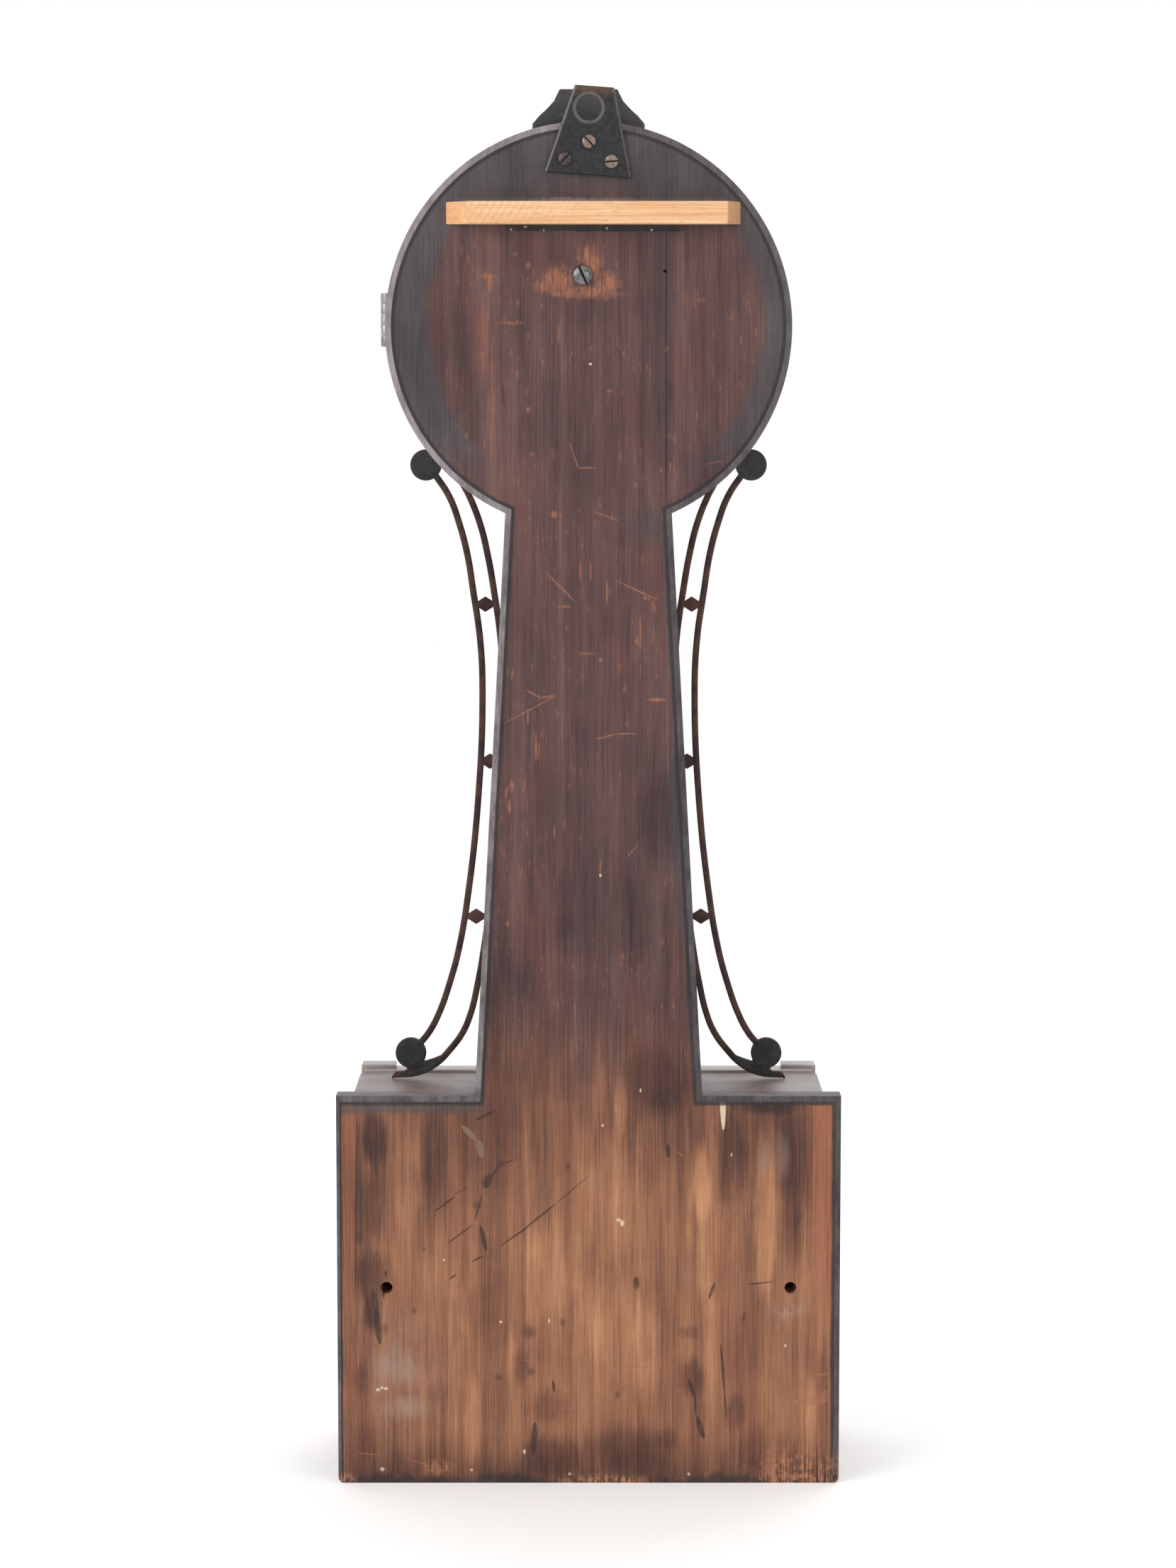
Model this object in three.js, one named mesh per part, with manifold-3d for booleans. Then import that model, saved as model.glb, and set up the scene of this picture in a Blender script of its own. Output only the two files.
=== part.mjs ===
// A weight-driven wall clock with a banjo-shaped case, in millimetres, +Z up.
// The front faces -Y, the board that goes against the wall faces +Y, and the underside is at Z = 0.
// Depths are counted from the back face of the backboard towards the front.
import * as THREE from "three";
import { mergeVertices } from "three/addons/utils/BufferGeometryUtils.js";
import Module from "manifold-3d";

const wasm = await Module();
wasm.setup();

// Clearances
const fitGap = 0.2;
const runGap = 0.35;
const overrun = 2;

// Backboard
const baseWidth = 254;
const baseHeight = 199.2;
const neckFootWidth = 114.4;
const neckTopWidth = 82.4;
const headRadius = 100.2;
const headHeight = 582.8;
const boardThick = 13;
const boardEase = 2.6;
const baseCorner = 3;
const wallHoleRadius = 3;
const wallHoleSpread = 102;
const wallHoleHeight = 101;
const pinHoleRadius = 0.9;
const pinHoleAcross = 37.5;
const pinHoleRise = 27.2;

// Base box
const baseOverhang = 7;
const baseDepth = 86;
const baseSideThick = 8;
const shoulderHeight = 195.5;
const shoulderThick = 8;
const bottomThick = 8;

// Base door
const doorThick = 18;
const doorRail = 17;
const doorRebate = 4;
const doorSideGap = 1.6;
const doorFootGap = 1.5;
const doorRise = 1.4;
const blockSide = 18;
const blockRise = 1.8;
const blockProud = 2.5;
const railRound = 5;
const glassThick = 2.2;

// Waist box
const waistOverhang = 5;
const waistSideThick = 6;
const waistDepth = 64;
const waistFrameThick = 14;
const waistRail = 11;
const waistRebate = 3;
const waistFrameTopGap = 1.6;
const baffleThick = 2;
const baffleDepth = 43;
const baffleFoot = 60;

// Head
const rimRadius = 99.4;
const rimWall = 13;
const rimDepth = 66;
const dialRadius = 91;
const dialThick = 1.2;
const dialDepth = 60.2;
const dialRoll = 1.6;
const pipeHole = 5.4;
const windingHole = 4.2;
const bezelRadius = 99.4;
const bezelSight = 84;
const bezelThick = 13;
const bezelWall = 2.2;
const glassCrown = 9;

// Plinth on the head
const plinthFootRise = 2.8;
const plinthTall = 17.2;
const plinthHollowShares = [[0.74, 0.24], [0.5, 0.41], [0.21, 0.66], [0, 1]];
const plinthTopHalf = 14.5;
const plinthFootHalf = 28.2;
const plinthFrontDepth = 72;
const plinthThick = 26;

// Batten, hanger plate and their screws
const battenLeft = -74.7;
const battenRight = 70;
const battenRise = 50;
const battenTall = 11;
const battenThick = 9;
const battenLeftSlope = 6.3;
const battenRightSlope = 11.6;
const hangerTopWidth = 19.2;
const hangerFootWidth = 42.6;
const hangerTall = 42.8;
const hangerThick = 2.2;
const hangerTilt = THREE.MathUtils.degToRad(4.2);
const hangerAcross = 0.25;
const hangerRise = 74.15;
const hangerHole = { across: 2, up: 32.2, radius: 6.3 };
const hangerScrewHead = 3.4;
const hangerScrewShank = 1.6;
const hangerScrewLength = 10;
const hangerScrewDome = 1.5;
const hangerScrews = [
  { name: "hanger_screw_top", across: 0.72, up: 15.94, turn: 45 },
  { name: "hanger_screw_right", across: 11.88, up: 6.8, turn: -45 },
  { name: "hanger_screw_left", across: -10.96, up: 7.07, turn: 4 },
];
const movementScrew = { across: 2.9, rise: 25.5, head: 4.9, shank: 2.4, dome: 2.6, turn: 65 };

// Side arms
const armDepth = 68;
const armThick = 3;
const armStrip = 3.3;
const armDiscRadius = 8;
const armDiscGap = 0.5;
const armDiscAngle = THREE.MathUtils.degToRad(-39.5);
const armRimAngle = THREE.MathUtils.degToRad(-50.4);
const armLowerRise = 13.9;
const armSpread = 35.7;
const armTailRadius = 2.2;
const armLinkHalf = 4;

// Hinges
const hingeKnuckle = 2.9;
const hingePin = 1.2;
const hingeLeafThick = 1.2;
const bezelHingeAcross = 103.5;
const bezelHingeDepth = 75;
const bezelHingeTall = 27;
const bezelHingeRise = 5.2;
const doorHingeTall = 30;
const doorHingeInset = 40;
const doorLatchHeight = 105;
const latchShank = 2.5;
const latchKnob = 7;
const latchReach = 9;
const latchKnobLength = 10;

// Going train: wheel teeth, pinion leaves, modules and the places of the arbors
const greatTeeth = 96;
const centreTeeth = 84;
const thirdTeeth = 64;
const escapeTeeth = 30;
const trainLeaves = 8;
const greatModule = 0.66;
const centreModule = 0.6;
const thirdModule = 0.55;
const cannonLeaves = 12;
const minuteTeeth = 36;
const minuteLeaves = 10;
const hourTeeth = 40;
const cannonModule = 0.7;
const escapeRadius = 15.6;
const wheelThick = 1.5;
const pinionLength = 4.5;
const arborRadius = 1.3;
const fineArborRadius = 0.8;
const plateThick = 2.5;
const plateGap = 29.3;
const plateHalf = 50;
const plateDrop = 62.8;
const plateRise = 61.2;
const pillarRadius = 3;
const pillarInset = 5;
const greatHub = 4.5;
const centreHub = 4;
const fineHub = 3;
const hourHub = 5;
const pipeWall = 1;
const ratchetTeeth = 16;
const ratchetLean = THREE.MathUtils.degToRad(0.6);
const escapeRise = 27.2;
const palletRise = 49.2;
const barrelRadius = 6.4;
const lineRadius = 0.6;
const lineStudRadius = 1.8;
const barrelLength = 15;
const barrelFlange = 13;
const windingSquare = 3.2;
const crutchClear = 6;
const forkBar = 1.2;
const anchorHalf = 3;
const minuteWheelAngle = THREE.MathUtils.degToRad(215);

// Depths of the planes that the wheels turn in
const greatDepth = 17.6;
const barrelDepth = 22;
const thirdDepth = 24;
const escapeDepth = 34;
const centreDepth = 40;
const cannonDepth = 48.6;
const hourDepth = 51;
const rodDepth = 55;

// Hands
const minuteHandLength = 76;
const hourHandLength = 52;
const handThick = 0.8;
const hourHandDepth = 62.6;
const minuteHandDepth = 64.6;
const minuteHandTurn = THREE.MathUtils.degToRad(-54);
const hourHandTurn = THREE.MathUtils.degToRad(55.5);
const minuteHandBoss = 4.6;
const hourHandBoss = 6;
const minuteHandWidth = 3.6;
const hourHandWidth = 4.4;

// Pendulum
const pivotRise = 55.2;
const rodWidth = 3;
const rodThick = 1.2;
const keystoneHalf = 12;
const keystoneTall = 28.8;
const keystoneBar = 2.2;
const springLength = 2.5;
const bridgeHalf = 12;
const bridgeNoseHalf = 4;
const bridgeThick = 3;
const bobHeight = 116;
const bobRadius = 34;
const bobThick = 18;
const bobEdge = 1.6;
const rodFoot = 66;
const ratingNutRadius = 6;
const ratingNutTall = 5;

// Weight
const pulleyRadius = 9;
const pulleyThick = 4;
const pulleyFlange = 1.4;
const pulleyAxle = 1.5;
const stirrupWall = 1.2;
const stirrupHalf = 2.5;
const pulleyDrop = 62.8;
const weightWidth = 44;
const weightThick = 22;
const weightTall = 118;
const weightDepth = 29;
const stirrupTall = 17;

// The frame's middle, halfway between the batten's back and the front of the latch knob
const frontReach = baseDepth + fitGap + doorThick + latchKnobLength;
const backY = (frontReach - battenThick) / 2;
const atDepth = (depth) => backY - depth;

// Places that follow from the sizes above
const pinHoleHeight = headHeight + pinHoleRise;
const battenLow = headHeight + battenRise;
const hangerHeight = headHeight + hangerRise;
const movementScrewHeight = headHeight + movementScrew.rise;
const bezelHingeHeight = headHeight + bezelHingeRise;
const plateLow = headHeight - plateDrop;
const plateHigh = headHeight + plateRise;
const escapeHeight = headHeight + escapeRise;
const palletHeight = headHeight + palletRise;
const pendulumPivot = headHeight + pivotRise;
const pulleyHeight = headHeight - pulleyDrop;
const weightTop = pulleyHeight - stirrupTall;
const plinthStep = headHeight + rimRadius + plinthFootRise;
const boxHalf = baseWidth / 2 - baseOverhang;
const neckSlope = (neckFootWidth - neckTopWidth) / 2 /
  (headHeight - Math.sqrt(headRadius ** 2 - (neckTopWidth / 2) ** 2) - baseHeight);
const neckHalfAt = (height) => neckFootWidth / 2 - (height - baseHeight) * neckSlope;
const waistHalfAt = (height) => neckHalfAt(height) - waistOverhang;
const doorBack = baseDepth + fitGap;
const doorHalf = boxHalf - doorSideGap / 4;
const blockTop = shoulderHeight + doorRise + blockRise;
const blockFoot = doorFootGap;
const frameHalf = doorHalf - blockRise;
const frameTop = blockTop - blockRise;
const frameFoot = blockFoot + blockRise;
const sightHalf = frameHalf - doorRail;
const latchAcross = -(sightHalf + doorRebate + latchShank + 2 * runGap);
const tongueDepth = baseDepth - 2 * latchShank;
const tongueThick = (2 / 3) * latchShank;

// Finishes
const finish = (color, roughness, metalness = 0) =>
  new THREE.MeshStandardMaterial({ color, roughness, metalness });
const darkWood = finish(0x63484a, 0.55);
const baseWood = finish(0x96694f, 0.5);
const frameWood = finish(0x5a2e22, 0.4);
const rawWood = finish(0xf0bf8d, 0.75);
const blackPaint = finish(0x2c2828, 0.45);
const iron = finish(0x404043, 0.6, 0.8);
const steel = finish(0x9a9894, 0.35, 1);
const blueSteel = finish(0x20263c, 0.3, 1);
const brass = finish(0xb48a3c, 0.35, 1);
const oldBrass = finish(0x4c3b30, 0.5, 0.9);
const lead = finish(0x6c6d70, 0.6, 0.7);
const paint = finish(0xefe9da, 0.5);
const cord = finish(0xc9b58c, 0.8);
const glass = new THREE.MeshStandardMaterial({
  color: 0xdfe8e6, roughness: 0.05, metalness: 0, transparent: true, opacity: 0.3,
});

// Booleans
function solidOf(geometry) {
  const bare = new THREE.BufferGeometry();
  const source = geometry.index ? geometry.toNonIndexed() : geometry;
  bare.setAttribute("position", source.getAttribute("position"));
  const merged = mergeVertices(bare, 1e-4);
  return new wasm.Manifold(new wasm.Mesh({
    numProp: 3,
    vertProperties: merged.attributes.position.array,
    triVerts: new Uint32Array(merged.index.array),
  }));
}

function geometryOf(solid) {
  const mesh = solid.getMesh();
  const geometry = new THREE.BufferGeometry();
  geometry.setAttribute("position", new THREE.BufferAttribute(mesh.vertProperties, 3));
  geometry.setIndex(new THREE.BufferAttribute(mesh.triVerts, 1));
  const faceted = geometry.toNonIndexed();
  faceted.computeVertexNormals();
  return faceted;
}

const joined = (first, ...others) =>
  geometryOf(others.reduce((sum, other) => sum.add(solidOf(other)), solidOf(first)));
const cutFrom = (first, ...others) =>
  geometryOf(others.reduce((left, other) => left.subtract(solidOf(other)), solidOf(first)));

// Shapes are drawn as seen from the front, X across and Y up, and pushed from one depth towards the front
function pushed(shape, depth, thick, curveSegments = 12) {
  return new THREE.ExtrudeGeometry(shape, { depth: thick, bevelEnabled: false, curveSegments })
    .rotateX(Math.PI / 2)
    .translate(0, atDepth(depth), 0);
}

const block = (left, right, depth, thick, low, high) =>
  new THREE.BoxGeometry(right - left, thick, high - low)
    .translate((left + right) / 2, atDepth(depth + thick / 2), (low + high) / 2);

// A round bar whose axis runs from back to front
const bar = (across, height, radius, depth, length, sides = 12) =>
  new THREE.CylinderGeometry(radius, radius, length, sides)
    .translate(0, -length / 2, 0)
    .translate(across, atDepth(depth), height);

const upright = (across, depth, radius, low, high, sides = 16) =>
  new THREE.CylinderGeometry(radius, radius, high - low, sides)
    .rotateX(Math.PI / 2)
    .translate(across, atDepth(depth), (low + high) / 2);

// A turned piece: its profile is [radius, depth] and its axis runs from back to front
function turned(profile, across, height, sides) {
  const points = profile.map(([radius, depth]) => new THREE.Vector2(radius, -depth));
  if (THREE.ShapeUtils.isClockWise(points)) points.reverse();
  return new THREE.LatheGeometry(points, sides).translate(across, atDepth(0), height);
}

function outline(points) {
  return new THREE.Shape(points.map(([across, up]) => new THREE.Vector2(across, up)));
}

// Points along an arc, its two ends included
function arcPoints(across, up, radius, from, to, steps) {
  return Array.from({ length: steps + 1 }, (_, step) => {
    const angle = from + ((to - from) * step) / steps;
    return [across + radius * Math.cos(angle), up + radius * Math.sin(angle)];
  });
}

function roundHole(across, up, radius) {
  const hole = new THREE.Path();
  hole.absarc(across, up, radius, 0, 2 * Math.PI, false);
  return hole;
}

const clock = new THREE.Group();

function piece(name, geometry, material, home = clock) {
  const mesh = new THREE.Mesh(geometry, material);
  mesh.name = name;
  home.add(mesh);
  return mesh;
}

// Backboard: one outline for base, neck and head, its edges eased
function backboard() {
  const junction = Math.acos(neckTopWidth / 2 / headRadius);
  const half = baseWidth / 2;
  const shape = outline([
    ...arcPoints(half - baseCorner, baseCorner, baseCorner, -Math.PI / 2, 0, 3),
    [half, baseHeight],
    [neckFootWidth / 2, baseHeight],
    ...arcPoints(0, headHeight, headRadius, -junction, Math.PI + junction, 44),
    [-neckFootWidth / 2, baseHeight],
    [-half, baseHeight],
    ...arcPoints(baseCorner - half, baseCorner, baseCorner, Math.PI, 1.5 * Math.PI, 3),
  ]);
  const board = new THREE.ExtrudeGeometry(shape, {
    depth: boardThick - 2 * boardEase,
    bevelThickness: boardEase,
    bevelSize: boardEase,
    bevelOffset: -boardEase,
    bevelSegments: 1,
  }).rotateX(Math.PI / 2).translate(0, atDepth(boardEase), 0);
  const through = boardThick + 2 * overrun;
  const wallHoles = [-1, 1].map((side) =>
    bar(side * wallHoleSpread, wallHoleHeight, wallHoleRadius, -overrun, through, 16));
  const pinHole = bar(-pinHoleAcross, pinHoleHeight, pinHoleRadius, -overrun, through, 8);
  const screwHole = bar(movementScrew.across, movementScrewHeight,
    movementScrew.shank + fitGap, -overrun, through);
  const hangerHoles = hangerScrews.map(({ across, up }) => {
    const [x, z] = onHanger(across, up);
    return bar(x, z, hangerScrewShank + fitGap, -overrun, hangerScrewLength + 2 * overrun, 8);
  });
  return cutFrom(board, ...wallHoles, pinHole, screwHole, ...hangerHoles);
}

// A place on the tilted hanger plate, in the clock's own X and Z
function onHanger(across, up) {
  const x = hangerAcross + across * Math.cos(hangerTilt) - up * Math.sin(hangerTilt);
  const z = hangerHeight + across * Math.sin(hangerTilt) + up * Math.cos(hangerTilt);
  return [x, z];
}

function hangerPlate() {
  const corners = [
    [-hangerFootWidth / 2, 0],
    [hangerFootWidth / 2, 0],
    [hangerTopWidth / 2, hangerTall],
    [-hangerTopWidth / 2, hangerTall],
  ];
  const shape = outline(corners.map(([across, up]) => onHanger(across, up)));
  shape.holes.push(roundHole(...onHanger(hangerHole.across, hangerHole.up), hangerHole.radius));
  hangerScrews.forEach(({ across, up }) =>
    shape.holes.push(roundHole(...onHanger(across, up), hangerScrewShank + fitGap)));
  return pushed(shape, -hangerThick, hangerThick, 8);
}

// A slotted screw driven from the back: a low dome on a shank
function slottedScrew({ across, height, head, dome, shank, length, seat, turn }) {
  const rise = (2 / 3) * dome;
  const domeRows = arcPoints(0, 0, 1, Math.PI / 2, 0, 3).map(([out, back]) =>
    [head * out, seat + rise - dome - rise * back]);
  const profile = [...domeRows, [head, seat], [shank, seat], [shank, seat + length], [0, seat + length]];
  const screw = turned(profile, across, height, 10);
  const slotWide = head / 4;
  const slotDeep = dome / 2;
  const slot = new THREE.BoxGeometry(2 * head + 2 * overrun, slotDeep * 2, slotWide)
    .rotateY(THREE.MathUtils.degToRad(turn))
    .translate(across, atDepth(seat - dome), height);
  return cutFrom(screw, slot);
}

piece("backboard", backboard(), darkWood);
piece("hanger_plate", hangerPlate(), iron);
hangerScrews.forEach(({ name, across, up, turn }) => {
  const [x, z] = onHanger(across, up);
  const screw = slottedScrew({
    across: x, height: z, head: hangerScrewHead, dome: hangerScrewDome,
    shank: hangerScrewShank, length: hangerScrewLength, seat: -hangerThick, turn,
  });
  piece(name, screw, steel);
});
piece("movement_screw", slottedScrew({
  across: movementScrew.across, height: movementScrewHeight, head: movementScrew.head,
  dome: movementScrew.dome, shank: movementScrew.shank,
  length: boardThick + fitGap + plateThick, seat: 0, turn: movementScrew.turn,
}), steel);

// The batten's ends are sawn at a slope
const batten = new THREE.ExtrudeGeometry(outline([
  [battenLeft, 0],
  [battenRight, 0],
  [battenRight - battenRightSlope, battenThick],
  [battenLeft + battenLeftSlope, battenThick],
]), { depth: battenTall, bevelEnabled: false }).translate(0, atDepth(0), battenLow);
piece("spacer_batten", batten, rawWood);

// Base box: sides, bottom and the two shoulder boards that the waist stands between
const boxBack = boardThick + fitGap;
const boxThick = baseDepth - boxBack;
const sideTop = shoulderHeight - shoulderThick - fitGap;
const shoulderInner = waistHalfAt(shoulderHeight) - waistSideThick;
const latchMortise = block(latchAcross - latchReach - runGap, overrun - boxHalf + baseSideThick,
  tongueDepth - runGap, tongueThick + 2 * runGap,
  doorLatchHeight - latchShank - runGap, doorLatchHeight + latchReach + runGap);
[["left", -1], ["right", 1]].forEach(([word, side]) => {
  const span = (near, far) => [Math.min(side * near, side * far), Math.max(side * near, side * far)];
  const board = block(...span(boxHalf - baseSideThick, boxHalf), boxBack, boxThick, 0, sideTop);
  piece(`base_side_${word}`, side < 0 ? cutFrom(board, latchMortise) : board, baseWood);
  piece(`base_shoulder_${word}`,
    block(...span(shoulderInner, boxHalf), boxBack, boxThick,
      shoulderHeight - shoulderThick, shoulderHeight),
    baseWood);
});
const bottomHalf = boxHalf - baseSideThick - fitGap;
piece("base_bottom", block(-bottomHalf, bottomHalf, boxBack, boxThick, 0, bottomThick), baseWood);

// Waist box: two tapering sides that stop at the round head rim
const rimMeets = rimRadius + fitGap;
const rimFoot = (across) => headHeight - Math.sqrt(rimMeets ** 2 - across ** 2);
const rimBlank = (depth, thick) => bar(0, headHeight, rimMeets, depth, thick, 96);
[["left", -1], ["right", 1]].forEach(([word, side]) => {
  const foot = shoulderHeight + fitGap;
  const top = rimFoot(0) + waistSideThick * 2;
  const side4 = outline([
    [side * waistHalfAt(foot), foot],
    [side * waistHalfAt(top), top],
    [side * (waistHalfAt(top) - waistSideThick), top],
    [side * (waistHalfAt(foot) - waistSideThick), foot],
  ]);
  const board = pushed(side4, boxBack, waistDepth - boxBack);
  piece(`waist_side_${word}`,
    cutFrom(board, rimBlank(boxBack - overrun, waistDepth + 2 * overrun)), baseWood);
});

// Waist frame: tapering stiles, a foot rail and a head rail hollowed to the bezel's curve
const bezelMeets = bezelRadius + waistFrameTopGap;
function taperedPanel(inset, foot, topRadius, steps = 10) {
  const across = waistHalfAt(headHeight - topRadius) - inset;
  const spread = Math.asin(across / topRadius);
  return outline([
    [-(waistHalfAt(foot) - inset), foot],
    [waistHalfAt(foot) - inset, foot],
    ...arcPoints(0, headHeight, topRadius, spread - Math.PI / 2, -spread - Math.PI / 2, steps),
  ]);
}
const waistFoot = shoulderHeight + fitGap;
const waistFrameDepth = waistDepth + fitGap;
const waistFrame = pushed(taperedPanel(0, waistFoot, bezelMeets), waistFrameDepth, waistFrameThick);
const waistSight = pushed(taperedPanel(waistRail, waistFoot + waistRail, bezelMeets + waistRail),
  waistFrameDepth - overrun, waistFrameThick + 2 * overrun);
const waistGlassBed = waistRail - waistRebate;
const waistRebateCut = pushed(
  taperedPanel(waistGlassBed, waistFoot + waistGlassBed, bezelMeets + waistGlassBed),
  waistFrameDepth - overrun, overrun + waistFrameThick / 2);
piece("waist_frame", cutFrom(waistFrame, waistSight, waistRebateCut), frameWood);
const waistGlassInset = waistGlassBed + fitGap;
piece("waist_glass", pushed(
  taperedPanel(waistGlassInset, waistFoot + waistGlassInset, bezelMeets + waistGlassInset),
  waistFrameDepth + waistFrameThick / 2 - glassThick - fitGap, glassThick), glass);

// Baffle board between the weight and the pendulum, sprung between the waist sides
const baffleHalfAt = (height) => waistHalfAt(height) - waistSideThick - fitGap;
const baffleFootHalf = baffleHalfAt(rimFoot(0));
piece("weight_baffle", pushed(outline([
  [-baffleFootHalf, baffleFoot],
  [baffleFootHalf, baffleFoot],
  [baffleHalfAt(shoulderHeight), shoulderHeight - shoulderThick],
  [baffleHalfAt(shoulderHeight), shoulderHeight],
  [baffleHalfAt(rimFoot(0)), rimFoot(0) - fitGap],
  [-baffleHalfAt(rimFoot(0)), rimFoot(0) - fitGap],
  [-baffleHalfAt(shoulderHeight), shoulderHeight],
  [-baffleHalfAt(shoulderHeight), shoulderHeight - shoulderThick],
]), baffleDepth, baffleThick), rawWood);

// Head rim: a turned drum with a seat for the dial, open below for the pendulum and the weight's line
const dialSeat = dialRadius + fitGap;
const rim = turned([
  [rimRadius - rimWall, boxBack],
  [rimRadius, boxBack],
  [rimRadius, rimDepth],
  [dialSeat, rimDepth],
  [dialSeat, dialDepth - fitGap],
  [rimRadius - rimWall, dialDepth - fitGap],
  [rimRadius - rimWall, boxBack],
], 0, headHeight, 36);
const rimMouthHalf = waistHalfAt(rimFoot(0)) - waistSideThick;
const rimMouth = block(-rimMouthHalf, rimMouthHalf, boxBack - overrun,
  dialDepth - boxBack, rimFoot(0) - overrun, headHeight);
piece("head_rim", cutFrom(rim, rimMouth), blackPaint);

// Plinth: hollow-sided block that sits astride the rim
const plinthSpread = Math.asin(plinthFootHalf / rimMeets);
const plinthSide = plinthHollowShares.map(([outShare, upShare]) => [
  plinthTopHalf + outShare * (plinthFootHalf - plinthTopHalf),
  plinthStep + upShare * plinthTall,
]);
const plinthShape = outline([
  ...arcPoints(0, headHeight, rimMeets, Math.PI / 2 + plinthSpread, Math.PI / 2 - plinthSpread, 8),
  [plinthFootHalf, plinthStep],
  ...plinthSide,
  ...plinthSide.map(([across, up]) => [-across, up]).reverse(),
  [-plinthFootHalf, plinthStep],
]);
piece("plinth", pushed(plinthShape, plinthFrontDepth - plinthThick, plinthThick), blackPaint);

// Side arms: two strips joined by diamond links, with a disc at each end and a tail on the shoulder.
// The tables give height shares from the lower disc to the upper one and, beside each, the strip's
// reach from the waist's side as a share of the arm's spread, so an arm follows the waist's taper.
// The web under the lower disc is given in shares of the disc's radius and of its rise.
const armOuterShares = [
  [0.948, 1], [0.9, 0.826], [0.848, 0.689], [0.79, 0.585], [0.704, 0.443], [0.618, 0.373],
  [0.444, 0.353], [0.27, 0.431], [0.182, 0.518], [0.124, 0.622], [0.065, 0.773],
  [0.035, 0.896],
];
const armInnerShares = [
  [0.948, 0.709], [0.9, 0.529], [0.848, 0.398], [0.79, 0.286], [0.704, 0.148], [0.618, 0.078],
  [0.444, 0.059], [0.27, 0.101], [0.182, 0.157], [0.124, 0.216], [0.065, 0.308],
  [0.035, 0.403],
];
const armFootShares = [[1.137, 0.568], [0.583, 0.771], [0.252, 1.031]];
const armLinkShares = [0.766, 0.5, 0.235];
const armWebShares = [
  [-2.1, -0.07], [-0.98, -0.3], [0, -0.29], [0.5, -0.36], [0.28, -0.58], [0.8, -0.85],
  [0.33, -0.88], [-0.93, -0.68], [-1.85, -0.36],
];
const armLowerReachShare = 1.142;
const armTailReachShare = 1.343;
const armDiscReach = bezelRadius + armDiscRadius + armDiscGap;
const aroundHead = (radius, angle) =>
  [radius * Math.cos(angle), headHeight + radius * Math.sin(angle)];
const armUpperDisc = aroundHead(armDiscReach, armDiscAngle);
const armLowerHeight = shoulderHeight + armLowerRise;
const besideWaist = (height, reachShare) => [waistHalfAt(height) + reachShare * armSpread, height];
const armLevel = (heightShare) => armLowerHeight + heightShare * (armUpperDisc[1] - armLowerHeight);
const armLowerDisc = besideWaist(armLowerHeight, armLowerReachShare);

// A strip of even width along a smooth curve through the given points
function ribbon(points, width, steps) {
  const curve = new THREE.CatmullRomCurve3(points.map(([x, z]) => new THREE.Vector3(x, z, 0)));
  const near = [];
  const far = [];
  for (let step = 0; step <= steps; step += 1) {
    const at = curve.getPointAt(step / steps);
    const along = curve.getTangentAt(step / steps);
    near.push([at.x - (along.y * width) / 2, at.y + (along.x * width) / 2]);
    far.unshift([at.x + (along.y * width) / 2, at.y - (along.x * width) / 2]);
  }
  return outline([...near, ...far]);
}

function reachAt(table, level) {
  const next = table.findIndex(([share]) => share <= level);
  const [[highShare, highReach], [lowShare, lowReach]] = [table[next - 1], table[next]];
  return lowReach + ((level - lowShare) / (highShare - lowShare)) * (highReach - lowReach);
}

function sideArm(side) {
  const flat = (shape) => pushed(shape, armDepth - armThick / 2, armThick);
  const disc = ([across, height], radius) =>
    bar(across, height, radius, armDepth - armThick / 2, armThick, 14);
  const onArm = ([heightShare, reachShare]) => besideWaist(armLevel(heightShare), reachShare);
  const tail = besideWaist(shoulderHeight + fitGap + armTailRadius, armTailReachShare);
  const discEdge = armDiscRadius / 2;
  const outer = flat(ribbon([
    [armUpperDisc[0] - discEdge, armUpperDisc[1] - discEdge],
    ...armOuterShares.map(onArm),
    [armLowerDisc[0] - discEdge, armLowerDisc[1] + discEdge],
  ], armStrip, 15));
  const inner = flat(ribbon([
    aroundHead(rimMeets + armStrip / 2, armRimAngle),
    ...armInnerShares.map(onArm),
    ...armFootShares.map(([riseShare, reachShare]) =>
      besideWaist(shoulderHeight + riseShare * armLowerRise, reachShare)),
    tail,
  ], armStrip, 20));
  const links = armLinkShares.map((level) => {
    const height = armLevel(level);
    const [near] = besideWaist(height, reachAt(armInnerShares, level));
    const [far] = besideWaist(height, reachAt(armOuterShares, level));
    const middle = (near + far) / 2;
    return flat(outline([
      [near, height - armStrip / 3],
      [near + armStrip / 2, height - armStrip / 3],
      [middle, height - armLinkHalf],
      [far - armStrip / 2, height - armStrip / 3],
      [far, height - armStrip / 3],
      [far, height + armStrip / 3],
      [far - armStrip / 2, height + armStrip / 3],
      [middle, height + armLinkHalf],
      [near + armStrip / 2, height + armStrip / 3],
      [near, height + armStrip / 3],
    ]));
  });
  const web = flat(outline(armWebShares.map(([outShare, riseShare]) => [
    armLowerDisc[0] + outShare * armDiscRadius,
    armLowerDisc[1] + riseShare * armLowerRise,
  ])));
  const arm = joined(outer, inner, web, ...links,
    disc(armUpperDisc, armDiscRadius), disc(armLowerDisc, armDiscRadius),
    disc(tail, armTailRadius));
  return side > 0 ? arm : mirrored(arm);
}

function mirrored(geometry) {
  const flipped = geometry.clone().scale(-1, 1, 1);
  const position = flipped.getAttribute("position");
  for (let corner = 0; corner < position.count; corner += 3) {
    const next = corner + 1;
    const [x, y, z] = [position.getX(corner), position.getY(corner), position.getZ(corner)];
    position.setXYZ(corner, position.getX(next), position.getY(next), position.getZ(next));
    position.setXYZ(next, x, y, z);
  }
  flipped.computeVertexNormals();
  return flipped;
}
piece("side_arm_right", sideArm(1), oldBrass);
piece("side_arm_left", sideArm(-1), oldBrass);

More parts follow.
